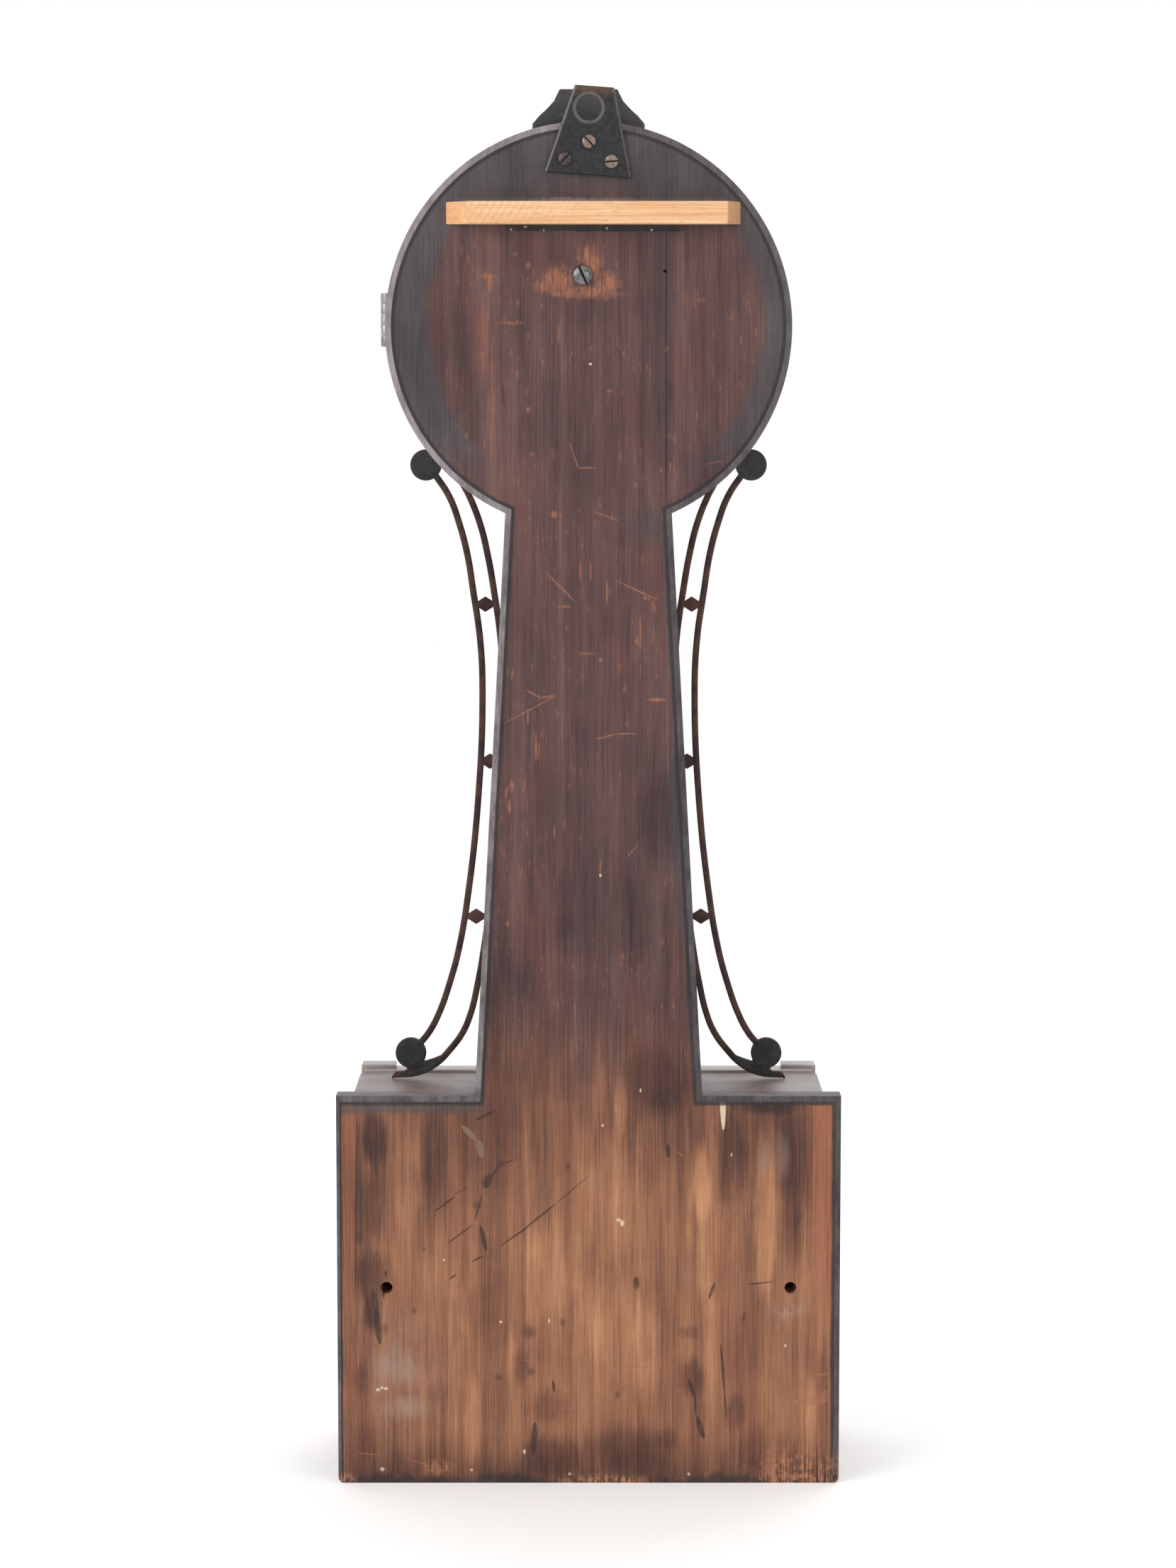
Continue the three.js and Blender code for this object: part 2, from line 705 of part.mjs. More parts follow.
// Dial: a painted iron disc with a rolled edge, a centre hole and a winding hole
const centreDistance = (greatModule * (greatTeeth + trainLeaves)) / 2;
const lineReach = (radius) => radius + lineRadius + fitGap;
const barrelAcross = lineReach(pulleyRadius) + lineReach(barrelRadius);
const greatHeight = headHeight - Math.sqrt(centreDistance ** 2 - barrelAcross ** 2);
const dialPlate = turned([
  [0, dialDepth],
  [dialRadius, dialDepth],
  [dialRadius, dialDepth + dialRoll],
  [dialRadius - dialRoll, dialDepth + dialRoll],
  [dialRadius - 2 * dialRoll, dialDepth + dialThick],
  [0, dialDepth + dialThick],
], 0, headHeight, 36);
piece("dial", cutFrom(dialPlate,
  bar(0, headHeight, pipeHole, dialDepth - overrun, dialThick + 2 * overrun, 20),
  bar(barrelAcross, greatHeight, windingHole, dialDepth - overrun, dialThick + 2 * overrun, 20)), paint);

// Bezel: moulded brass ring on a hinge, with a domed glass in its rebate
const bezelGroup = new THREE.Group();
clock.add(bezelGroup);
const bezelBack = rimDepth + fitGap;
const glassBed = bezelBack + bezelThick / 2;
const glassEdge = bezelSight + bezelWall - runGap;
const glassRebate = bezelSight + bezelWall + runGap;
const bezelShares = [
  [1, 0], [1, 0.32], [0.86, 0.62], [0.64, 0.9], [0.43, 1], [0.29, 0.84], [0, 0.62],
];
piece("bezel", turned([
  ...bezelShares.map(([outShare, thickShare]) =>
    [bezelSight + outShare * (bezelRadius - bezelSight), bezelBack + thickShare * bezelThick]),
  [bezelSight, glassBed + fitGap],
  [glassRebate, glassBed + fitGap],
  [glassRebate, bezelBack],
  [bezelRadius, bezelBack],
], 0, headHeight, 36), brass, bezelGroup);
const domeRadius = (glassEdge ** 2 + glassCrown ** 2) / (2 * glassCrown);
const domeCentre = glassBed - glassThick + glassCrown - domeRadius;
const domeArc = (radius, steps) => arcPoints(0, 0, radius,
  Math.asin(glassEdge / domeRadius), 0, steps).map(([forward, out]) => [out, domeCentre + forward]);
piece("bezel_glass", turned([
  ...domeArc(domeRadius + glassThick / 2, 3),
  ...domeArc(domeRadius - glassThick / 2, 3).reverse(),
  domeArc(domeRadius + glassThick / 2, 3)[0],
], 0, headHeight, 24), glass, bezelGroup);

// A leaf hinge standing upright: odd knuckles belong to the case, even ones to the moving leaf
function hinge({ across, depth, low, tall, knuckles, leafReach, face }) {
  const step = tall / knuckles;
  const leafFace = [face, face + hingeLeafThick];
  const knuckleAt = (index) => upright(across, depth, hingeKnuckle,
    low + index * step + (index ? fitGap : 0), low + (index + 1) * step, 10);
  const rootGap = hingeKnuckle + runGap;
  const caseLeaf = block(...leafFace, depth - leafReach, leafReach - rootGap, low, low + tall);
  const moveLeaf = block(...leafFace, depth + rootGap, leafReach / 2 - rootGap, low, low + tall);
  const odd = [];
  const even = [];
  for (let index = 0; index < knuckles; index += 1) {
    const onCase = index % 2 === 0;
    const neck = block(...leafFace, onCase ? depth - rootGap : depth, rootGap,
      low + index * step + (index ? fitGap : 0), low + (index + 1) * step);
    (onCase ? odd : even).push(knuckleAt(index), neck);
  }
  const pin = upright(across, depth, hingePin, low, low + tall, 8);
  const bore = upright(across, depth, hingePin + fitGap, low - overrun, low + tall + overrun, 8);
  return {
    caseLeaf: joined(caseLeaf, ...odd, pin),
    moveLeaf: cutFrom(joined(moveLeaf, ...even), bore),
  };
}
const bezelHinge = hinge({
  across: bezelHingeAcross, depth: bezelHingeDepth, low: bezelHingeHeight - bezelHingeTall / 2,
  tall: bezelHingeTall, knuckles: 5, leafReach: 4 * hingeKnuckle + runGap, face: rimMeets,
});
piece("bezel_hinge_case_leaf", bezelHinge.caseLeaf, steel);
piece("bezel_hinge_leaf", bezelHinge.moveLeaf, steel, bezelGroup);

// Base door: half-round rails on a flat back frame, turned corner blocks, a glass tablet, two hinges
const doorGroup = new THREE.Group();
clock.add(doorGroup);
const backFrameThick = doorThick / 4;

function railSection(low, high, flip) {
  const middle = (low + high) / 2;
  const half = (high - low) / 2;
  const front = doorBack + doorThick - railRound;
  const crown = arcPoints(0, 0, 1, Math.PI, 0, 8).map(([share, riseShare]) =>
    [flip * (middle + half * share), -(front + railRound * riseShare)]);
  return outline([[flip * low, -doorBack - backFrameThick], ...crown,
    [flip * high, -doorBack - backFrameThick]]);
}
const standingRail = (low, high) =>
  new THREE.ExtrudeGeometry(railSection(low, high, 1), {
    depth: blockTop - blockFoot - 2 * blockSide - 2 * fitGap, bevelEnabled: false,
  }).translate(0, backY, blockFoot + blockSide + fitGap);
const lyingRail = (low, high) =>
  new THREE.ExtrudeGeometry(railSection(low, high, -1), {
    depth: 2 * (doorHalf - blockSide - fitGap), bevelEnabled: false,
  }).rotateY(Math.PI / 2).translate(-doorHalf + blockSide + fitGap, backY, 0);
const doorFrame = joined(
  block(-frameHalf, frameHalf, doorBack, backFrameThick, frameFoot, frameTop),
  standingRail(-frameHalf, -sightHalf), standingRail(sightHalf, frameHalf),
  lyingRail(frameFoot, frameFoot + doorRail), lyingRail(frameTop - doorRail, frameTop));
const sightCut = (grow, thick) => block(-sightHalf - grow, sightHalf + grow, doorBack - overrun,
  overrun + thick, frameFoot + doorRail - grow, frameTop - doorRail + grow);
piece("door_frame", cutFrom(doorFrame,
  sightCut(0, doorThick), sightCut(doorRebate, backFrameThick - fitGap),
  bar(latchAcross, doorLatchHeight, latchShank + fitGap, doorBack - overrun, doorThick + 2 * overrun)),
frameWood, doorGroup);
piece("door_glass", block(-sightHalf - doorRebate + fitGap, sightHalf + doorRebate - fitGap,
  doorBack + backFrameThick - 2 * fitGap - glassThick, glassThick,
  frameFoot + doorRail - doorRebate + fitGap, frameTop - doorRail + doorRebate - fitGap),
glass, doorGroup);

// The blocks stand on the back frame, a little proud of the rails on every side
const blockDepth = doorBack + backFrameThick + fitGap;
const blockThick = doorThick - backFrameThick + blockProud - fitGap;
const blockHalf = blockSide / 2;
const bossShares = [[0.92, 0.5], [0.8, 1], [0.64, 0.4], [0.4, 0.5], [0, 1]];
for (const [level, foot] of [["upper", blockTop - blockSide], ["lower", blockFoot]]) {
  for (const [word, side] of [["left", -1], ["right", 1]]) {
    const centre = side * (doorHalf - blockHalf);
    const cube = block(centre - blockHalf, centre + blockHalf,
      blockDepth, blockThick - blockProud, foot, foot + blockSide);
    const face = blockDepth + blockThick - blockProud;
    const boss = turned([
      [0, face - blockProud / 2],
      [bossShares[0][0] * blockHalf, face - blockProud / 2],
      ...bossShares.map(([outShare, proudShare]) =>
        [outShare * blockHalf, face + proudShare * blockProud]),
    ], centre, foot + blockHalf, 10);
    piece(`door_block_${level}_${word}`, joined(cube, boss), frameWood, doorGroup);
  }
}
const doorHinge = (low) => hinge({
  across: boxHalf + fitGap + hingeKnuckle, depth: doorBack, low, tall: doorHingeTall,
  knuckles: 3, leafReach: 6 * hingeKnuckle, face: boxHalf + fitGap,
});
const upperHinge = doorHinge(frameTop - doorHingeInset - doorHingeTall);
const lowerHinge = doorHinge(frameFoot + doorHingeInset);
piece("door_hinge_case_leaf_upper", upperHinge.caseLeaf, brass);
piece("door_hinge_case_leaf_lower", lowerHinge.caseLeaf, brass);
piece("door_hinge_leaf_upper", upperHinge.moveLeaf, brass, doorGroup);
piece("door_hinge_leaf_lower", lowerHinge.moveLeaf, brass, doorGroup);

// Door latch: a turned knob, its shank through the rail and a tongue that turns into the base side
const knobBack = doorBack + doorThick + fitGap;
const knobShares = [[0.6, 0], [0.6, 0.2], [0.42, 0.4], [0.8, 0.55], [1, 0.72], [0.8, 0.9], [0, 1]];
const latch = joined(
  turned([
    [0, tongueDepth],
    [latchShank, tongueDepth],
    [latchShank, knobBack],
    ...knobShares.map(([outShare, frontShare]) =>
      [outShare * latchKnob, knobBack + frontShare * (latchKnobLength - fitGap)]),
  ], latchAcross, doorLatchHeight, 12),
  block(latchAcross - latchShank, latchAcross + latchShank, tongueDepth, tongueThick,
    doorLatchHeight - latchShank, doorLatchHeight + latchReach));
piece("door_latch", latch, brass, doorGroup);

// Places of the arbors. Each meshing pair stands half the sum of its teeth apart, times its module.
const pitchSpan = (module, teeth, leaves) => (module * (teeth + leaves)) / 2;
const centreArbor = [0, headHeight];
const greatArbor = [barrelAcross, greatHeight];
const escapeArbor = [0, escapeHeight];
const palletArbor = [0, palletHeight];
const thirdArbor = (() => {
  const fromCentre = pitchSpan(centreModule, centreTeeth, trainLeaves);
  const fromEscape = pitchSpan(thirdModule, thirdTeeth, trainLeaves);
  const apart = escapeHeight - headHeight;
  const up = (fromCentre ** 2 - fromEscape ** 2 + apart ** 2) / (2 * apart);
  return [-Math.sqrt(fromCentre ** 2 - up ** 2), headHeight + up];
})();
const cannonSpan = pitchSpan(cannonModule, minuteTeeth, cannonLeaves);
const hourModule = (2 * cannonSpan) / (hourTeeth + minuteLeaves);
const minuteArbor = [
  centreArbor[0] + cannonSpan * Math.cos(minuteWheelAngle),
  centreArbor[1] + cannonSpan * Math.sin(minuteWheelAngle),
];
const towards = ([fromX, fromZ], [toX, toZ]) => Math.atan2(toZ - fromZ, toX - fromX);

// Pointed wheel teeth and square-topped pinion leaves, one of them centred on the angle given.
// Their corners are shares of the pitch along the ring and of the module in or out from its circle.
const wheelToothShares = [[0, 0.9], [0.5, -1.6]];
const leafShares = [[-0.26, -1.15], [-0.1, 0.9], [0.1, 0.9], [0.26, -1.15]];
function toothedRing([across, up], teeth, module, toothAngle, pointed) {
  const pitch = (Math.PI * 2) / teeth;
  const radius = (module * teeth) / 2;
  const corners = pointed ? wheelToothShares : leafShares;
  return Array.from({ length: teeth }, (_, tooth) => corners.map(([pitchShare, reachShare]) => {
    const reach = radius + reachShare * module;
    const angle = toothAngle + (tooth + pitchShare) * pitch;
    return [across + reach * Math.cos(angle), up + reach * Math.sin(angle)];
  })).flat();
}

// Four crossings sawn out between the hub and the rim
function crossings([across, up], hub, rimInner, turn) {
  const spoke = Math.PI / 14;
  return [0, 1, 2, 3].map((quarter) => {
    const from = turn + (quarter * Math.PI) / 2 + spoke;
    const to = turn + ((quarter + 1) * Math.PI) / 2 - spoke;
    const hole = new THREE.Path();
    hole.setFromPoints([
      ...arcPoints(across, up, rimInner, from, to, 2),
      ...arcPoints(across, up, hub, to - spoke, from + spoke, 1),
    ].map(([x, z]) => new THREE.Vector2(x, z)));
    return hole;
  });
}

function wheel(place, teeth, module, depth, toothAngle, hub) {
  const shape = outline(toothedRing(place, teeth, module, toothAngle, true));
  const rimInner = (module * teeth) / 2 - 4 * module;
  shape.holes.push(...crossings(place, hub, rimInner, toothAngle));
  return pushed(shape, depth, wheelThick);
}

const pinion = (place, leaves, module, depth, length, toothAngle) =>
  pushed(outline(toothedRing(place, leaves, module, toothAngle, false)), depth, length);

// Where one wheel has a tooth on the line of centres, its fellow has a gap
const gapFacing = (from, to, teeth) => towards(from, to) + Math.PI / teeth;
const arbor = ([across, up], radius, from, to) => bar(across, up, radius, from, to - from, 8);

// Movement plates: the back plate lies on the backboard and carries four riveted pillars,
// and the front plate carries the stud that the line's end is tied to
const backPlateDepth = boardThick + fitGap;
const backPlateFront = backPlateDepth + plateThick;
const frontPlateDepth = backPlateFront + plateGap;
const frontPlateFront = frontPlateDepth + plateThick;
const pillarPlaces = [plateLow + pillarInset, plateHigh - pillarInset].flatMap((height) =>
  [-1, 1].map((side) => [side * (plateHalf - pillarInset), height]));
const plate = (depth) => block(-plateHalf, plateHalf, depth, plateThick, plateLow, plateHigh);
const pivotHole = ([across, up], radius, depth) =>
  bar(across, up, radius + fitGap, depth - overrun, plateThick + 2 * overrun, 8);
const pillars = pillarPlaces.map(([across, up]) =>
  bar(across, up, pillarRadius, backPlateFront - fitGap, plateGap, 8));
const backPlateHoles = [
  pivotHole(greatArbor, arborRadius, backPlateDepth),
  pivotHole(centreArbor, arborRadius, backPlateDepth),
  ...[thirdArbor, escapeArbor, palletArbor].map((place) =>
    pivotHole(place, fineArborRadius, backPlateDepth)),
  bar(movementScrew.across, movementScrewHeight, movementScrew.shank + fitGap,
    backPlateDepth - overrun, plateThick + 2 * overrun, 14),
];
piece("movement_back_plate",
  cutFrom(joined(plate(backPlateDepth), ...pillars), ...backPlateHoles), brass);
const lineStudBack = weightDepth - 2 * lineStudRadius;
const lineStud = bar(-lineReach(pulleyRadius), greatHeight + lineStudRadius + fitGap, lineStudRadius,
  lineStudBack, frontPlateDepth + fitGap - lineStudBack, 10);
piece("movement_front_plate", cutFrom(joined(plate(frontPlateDepth), lineStud),
  pivotHole(greatArbor, windingSquare, frontPlateDepth),
  pivotHole(centreArbor, arborRadius, frontPlateDepth),
  pivotHole(minuteArbor, fineArborRadius, frontPlateDepth),
  ...[thirdArbor, escapeArbor, palletArbor].map((place) =>
    pivotHole(place, fineArborRadius, frontPlateDepth))), brass);

// Going train. The great wheel turns loose on the barrel's arbor.
const arborBack = backPlateDepth + fitGap;
const centrePinionAngle = gapFacing(centreArbor, greatArbor, trainLeaves);
const hubBore = arborRadius + windingSquare / 4 + fitGap;
piece("great_wheel", cutFrom(
  wheel(greatArbor, greatTeeth, greatModule, greatDepth, towards(greatArbor, centreArbor), greatHub),
  bar(...greatArbor, hubBore, greatDepth - overrun, wheelThick + 2 * overrun, 10)), brass);

const ratchetRootShare = 0.86;
function ratchetRing([across, up], radius, teeth) {
  return Array.from({ length: teeth }, (_, tooth) => {
    const angle = (tooth / teeth) * 2 * Math.PI;
    return [[radius, angle], [ratchetRootShare * radius, angle + ratchetLean]].map(([reach, at]) =>
      [across + reach * Math.cos(at), up + reach * Math.sin(at)]);
  }).flat();
}
const squareHalf = windingSquare / Math.SQRT2;
const ratchetDepth = greatDepth + wheelThick + 2 * fitGap;
const barrelParts = [
  pushed(outline(ratchetRing(greatArbor, barrelFlange, ratchetTeeth)), ratchetDepth, wheelThick),
  bar(...greatArbor, barrelRadius, ratchetDepth, barrelDepth + barrelLength - ratchetDepth, 16),
  bar(...greatArbor, barrelFlange, barrelDepth + barrelLength - wheelThick, wheelThick, 16),
  arbor(greatArbor, arborRadius, arborBack, greatDepth),
  arbor(greatArbor, hubBore - fitGap, greatDepth - fitGap, ratchetDepth + fitGap),
  arbor(greatArbor, windingSquare - fitGap, barrelDepth + barrelLength - fitGap, frontPlateFront),
  block(greatArbor[0] - squareHalf, greatArbor[0] + squareHalf,
    frontPlateFront - fitGap, dialDepth - frontPlateFront + fitGap,
    greatArbor[1] - squareHalf, greatArbor[1] + squareHalf),
];
piece("barrel", joined(...barrelParts), brass);

piece("centre_wheel", joined(
  wheel(centreArbor, centreTeeth, centreModule, centreDepth, towards(centreArbor, thirdArbor), centreHub),
  pinion(centreArbor, trainLeaves, greatModule, greatDepth - wheelThick / 2, pinionLength / 1.5,
    centrePinionAngle),
  bar(...centreArbor, centreHub + fitGap, centreDepth - wheelThick, 2 * wheelThick, 10),
  arbor(centreArbor, arborRadius, arborBack, minuteHandDepth + handThick + wheelThick)), brass);
piece("third_wheel", joined(
  wheel(thirdArbor, thirdTeeth, thirdModule, thirdDepth, towards(thirdArbor, escapeArbor), fineHub),
  pinion(thirdArbor, trainLeaves, centreModule, centreDepth - wheelThick, pinionLength,
    gapFacing(thirdArbor, centreArbor, trainLeaves)),
  bar(...thirdArbor, fineHub + fitGap, thirdDepth - wheelThick / 2, 2 * wheelThick, 10),
  arbor(thirdArbor, fineArborRadius, arborBack, frontPlateFront)), brass);

// Escape wheel: slender teeth that lean the way it turns
const escapeToothShares = [[0, 1], [0.12, 0.97], [0.6, 0.79]];
const escapeRimShare = 0.66;
const escapeRing = Array.from({ length: escapeTeeth }, (_, tooth) =>
  escapeToothShares.map(([pitchShare, reachShare]) => {
    const angle = ((tooth + pitchShare) / escapeTeeth) * 2 * Math.PI;
    return [
      escapeArbor[0] + escapeRadius * reachShare * Math.cos(angle),
      escapeArbor[1] + escapeRadius * reachShare * Math.sin(angle),
    ];
  })).flat();
const escapeShape = outline(escapeRing);
escapeShape.holes.push(...crossings(escapeArbor, fineHub, escapeRimShare * escapeRadius, 0));
piece("escape_wheel", joined(
  pushed(escapeShape, escapeDepth, wheelThick),
  pinion(escapeArbor, trainLeaves, thirdModule, thirdDepth - wheelThick, pinionLength,
    gapFacing(escapeArbor, thirdArbor, trainLeaves)),
  bar(...escapeArbor, fineHub + fitGap, escapeDepth - wheelThick / 2, 2 * wheelThick, 10),
  arbor(escapeArbor, fineArborRadius, arborBack, frontPlateDepth)), brass);

// Pallets: an anchor whose nibs stand clear of the wheel, with the crutch that moves the pendulum.
// It is drawn about its arbor, and the crutch's pin passes beside the pendulum rod.
const crutchFoot = headHeight + (hourModule * hourTeeth) / 2 + crutchClear;
const nibShares = [[0.74, 0.8], [0.86, 0.72], [0.9, 0.95]];
const anchorSide = [
  [(2 / 3) * anchorHalf, palletHeight - anchorHalf / 2],
  ...nibShares.map(([outShare, upShare]) =>
    [outShare * escapeRadius, escapeHeight + upShare * escapeRadius]),
  [anchorHalf, palletHeight + anchorHalf],
];
const anchorShape = outline([
  ...anchorSide,
  ...anchorSide.map(([across, up]) => [-across, up]).reverse(),
]);
const crutchDepth = frontPlateFront + fitGap;
const forkGap = rodWidth + 2 * runGap;
const prong = (from) => block(from, from + forkBar, crutchDepth,
  rodDepth + rodThick + overrun - crutchDepth, crutchFoot, crutchFoot + 2 * forkBar);
piece("pallets", joined(
  pushed(anchorShape, escapeDepth - wheelThick, 2.5 * wheelThick),
  arbor(palletArbor, fineArborRadius, arborBack, crutchDepth + forkBar),
  block(-forkBar / 2, forkBar / 2, crutchDepth, forkBar, crutchFoot, palletHeight),
  block(-forkGap / 2 - forkBar, forkGap / 2 + forkBar, crutchDepth, forkBar,
    crutchFoot, crutchFoot + 2 * forkBar),
  prong(-forkGap / 2 - forkBar), prong(forkGap / 2)), steel);

// Motion work: cannon pinion with the minute pipe, minute wheel, hour wheel with the hour pipe
const cannonBore = arborRadius + fitGap;
const minutePipe = cannonBore + pipeWall;
const hourPipe = minutePipe + fitGap + pipeWall;
const minuteWheelTooth = towards(minuteArbor, centreArbor);
const pipeBore = (radius, from, to) =>
  bar(...centreArbor, radius, from - overrun, to - from + 2 * overrun, 12);
piece("cannon_pinion", cutFrom(joined(
  pinion(centreArbor, cannonLeaves, cannonModule, cannonDepth, 1.4 * wheelThick,
    gapFacing(centreArbor, minuteArbor, cannonLeaves)),
  bar(...centreArbor, minutePipe, cannonDepth, minuteHandDepth + handThick - cannonDepth, 12)),
pipeBore(cannonBore, cannonDepth, minuteHandDepth)), brass);
piece("minute_wheel", joined(
  wheel(minuteArbor, minuteTeeth, cannonModule, cannonDepth, minuteWheelTooth, centreHub),
  pinion(minuteArbor, minuteLeaves, hourModule, cannonDepth + wheelThick - fitGap,
    hourDepth + wheelThick - cannonDepth, minuteWheelTooth),
  arbor(minuteArbor, fineArborRadius, frontPlateDepth, hourDepth + 2 * wheelThick)), brass);
piece("hour_wheel", cutFrom(joined(
  wheel(centreArbor, hourTeeth, hourModule, hourDepth + 2 * fitGap,
    gapFacing(centreArbor, minuteArbor, hourTeeth), hourHub),
  bar(...centreArbor, hourPipe, hourDepth + 2 * fitGap,
    hourHandDepth + handThick - hourDepth - 2 * fitGap, 14)),
pipeBore(minutePipe + fitGap, hourDepth, hourHandDepth)), brass);

// Hands: a round boss, a tapering stem and a pierced leaf near the tip.
// Half a hand is given as shares of its width outwards and of its length along it.
const handHalfShares = [[0.45, 0], [0.3, 0.56], [1, 0.62], [0.55, 0.72]];
const leafShare = 0.63;
const piercingShare = 0.42;
function hand(length, depth, turn, bossRadius, bore, width) {
  const place = ([out, along]) => [
    out * Math.cos(turn) - along * Math.sin(turn),
    headHeight + out * Math.sin(turn) + along * Math.cos(turn),
  ];
  const half = handHalfShares.map(([outShare, alongShare]) => [outShare * width, alongShare * length]);
  const stem = pushed(outline([
    ...half.map(place), place([0, length]),
    ...half.map(([out, along]) => place([-out, along])).reverse(),
  ]), depth, handThick);
  const hole = (at, radius, sides) =>
    bar(...at, radius, depth - overrun, handThick + 2 * overrun, sides);
  const boss = bar(...centreArbor, bossRadius, depth, handThick, 12);
  return cutFrom(joined(stem, boss), hole(centreArbor, bore, 14),
    hole(place([0, leafShare * length]), piercingShare * width, 8));
}
piece("hour_hand", hand(hourHandLength, hourHandDepth, hourHandTurn,
  hourHandBoss, hourPipe + fitGap, hourHandWidth), blueSteel);
piece("minute_hand", hand(minuteHandLength, minuteHandDepth, minuteHandTurn,
  minuteHandBoss, minutePipe + fitGap, minuteHandWidth), blueSteel);

// Suspension bridge: a foot on the front plate and a nose that holds the spring's top
const springTop = pendulumPivot + springLength;
const noseReach = rodDepth + rodThick + 2 * overrun;
const bridgeBack = frontPlateFront + fitGap;
const bridgeBlock = (half, thick) =>
  block(-half, half, bridgeBack, thick, springTop - overrun, plateHigh);
piece("suspension_bridge", cutFrom(
  joined(bridgeBlock(bridgeHalf, bridgeThick), bridgeBlock(bridgeNoseHalf, noseReach - bridgeBack)),
  block(-rodWidth / 2 - fitGap, rodWidth / 2 + fitGap, rodDepth - fitGap, rodThick + 2 * fitGap,
    springTop - 2 * overrun, springTop + fitGap)), brass);

// Pendulum: spring, rod with its keystone round the hour pipe, lens bob and rating nut
const keystoneTopShare = 0.8;
function keystoneRing(grow) {
  const half = keystoneHalf + grow;
  return [
    [-keystoneTopShare * half, headHeight + keystoneTall / 2 + grow],
    [-half, headHeight - keystoneTall / 2 - grow],
    [half, headHeight - keystoneTall / 2 - grow],
    [keystoneTopShare * half, headHeight + keystoneTall / 2 + grow],
  ];
}
const keystone = outline(keystoneRing(0));
keystone.holes.push(new THREE.Path(
  keystoneRing(-keystoneBar).map(([across, up]) => new THREE.Vector2(across, up))));
const rodLine = (half, low, high) => block(-half, half, rodDepth, rodThick, low, high);
const bobBore = rodWidth / 2 + fitGap;
piece("pendulum_rod", joined(
  rodLine(rodWidth / 2, headHeight + keystoneTall / 2 - keystoneBar / 2, springTop),
  rodLine(rodWidth / 2, rodFoot, headHeight - keystoneTall / 2 + keystoneBar / 2),
  pushed(keystone, rodDepth, rodThick)), brass);
const rodMiddle = rodDepth + rodThick / 2;
const lensShares = [[0, 1], [0.35, 0.92], [0.65, 0.7], [0.88, 0.36], [1, bobEdge / bobThick]];
const lensHalf = (side) => lensShares.map(([outShare, thickShare]) =>
  [outShare * bobRadius, rodMiddle + (side * thickShare * bobThick) / 2]);
const lens = turned([...lensHalf(-1), ...lensHalf(1).reverse()], 0, bobHeight, 24);
const bobSlot = block(-bobBore, bobBore, rodDepth - fitGap, rodThick + 2 * fitGap,
  bobHeight - bobRadius - overrun, bobHeight + bobRadius + overrun);
piece("pendulum_bob", cutFrom(lens, bobSlot), brass);
const nutTop = bobHeight - bobRadius - fitGap;
const nutBore = Math.hypot(rodWidth, rodThick) / 2 + fitGap;
piece("rating_nut", cutFrom(
  upright(0, rodMiddle, ratingNutRadius, nutTop - ratingNutTall, nutTop, 12),
  upright(0, rodMiddle, nutBore, nutTop - ratingNutTall - overrun, nutTop + overrun, 10)),
brass);

// Weight, its pulley in a stirrup, and the line that comes down from the barrel and goes up again
const pulleyBar = (radius, thick, sides) =>
  bar(0, pulleyHeight, radius, weightDepth - thick / 2, thick, sides);
const pulleyWheel = turned([
  [0, weightDepth - pulleyThick / 2],
  [pulleyRadius + pulleyFlange, weightDepth - pulleyThick / 2],
  [pulleyRadius, weightDepth - pulleyThick / 8],
  [pulleyRadius, weightDepth + pulleyThick / 8],
  [pulleyRadius + pulleyFlange, weightDepth + pulleyThick / 2],
  [0, weightDepth + pulleyThick / 2],
], 0, pulleyHeight, 20);
piece("weight_pulley",
  cutFrom(pulleyWheel, pulleyBar(pulleyAxle + fitGap, pulleyThick + 2 * overrun, 10)), brass);
const stirrupGap = pulleyThick + 2 * runGap;
const cheek = (depth) => block(-stirrupHalf, stirrupHalf, depth, stirrupWall,
  weightTop - overrun, pulleyHeight + stirrupHalf);
piece("weight", joined(
  block(-weightWidth / 2, weightWidth / 2, weightDepth - weightThick / 2, weightThick,
    weightTop - weightTall, weightTop),
  cheek(weightDepth - stirrupGap / 2 - stirrupWall), cheek(weightDepth + stirrupGap / 2),
  pulleyBar(pulleyAxle, stirrupGap + stirrupWall, 10)), lead);
const lineX = lineReach(pulleyRadius);
const strandLevels = [greatHeight, (greatHeight + pulleyHeight) / 2, pulleyHeight + lineX];
const strand = (x) => strandLevels.map((z) => [x, z]);
const lineRoute = new THREE.CatmullRomCurve3([
  ...strand(lineX),
  ...arcPoints(0, pulleyHeight, lineX, 0, -Math.PI, 6),
  ...strand(-lineX).reverse(),
].map(([x, z]) => new THREE.Vector3(x, atDepth(weightDepth), z)));
const lineSection = outline(arcPoints(0, 0, lineRadius, 0, (5 / 3) * Math.PI, 5));
piece("weight_line", new THREE.ExtrudeGeometry(lineSection, {
  steps: 24, extrudePath: lineRoute, bevelEnabled: false,
}), cord);

export default clock;
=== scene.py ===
from math import acos, asin, cos, hypot, pi, radians, sin, sqrt

import bmesh
import bpy
from mathutils import Matrix, Vector


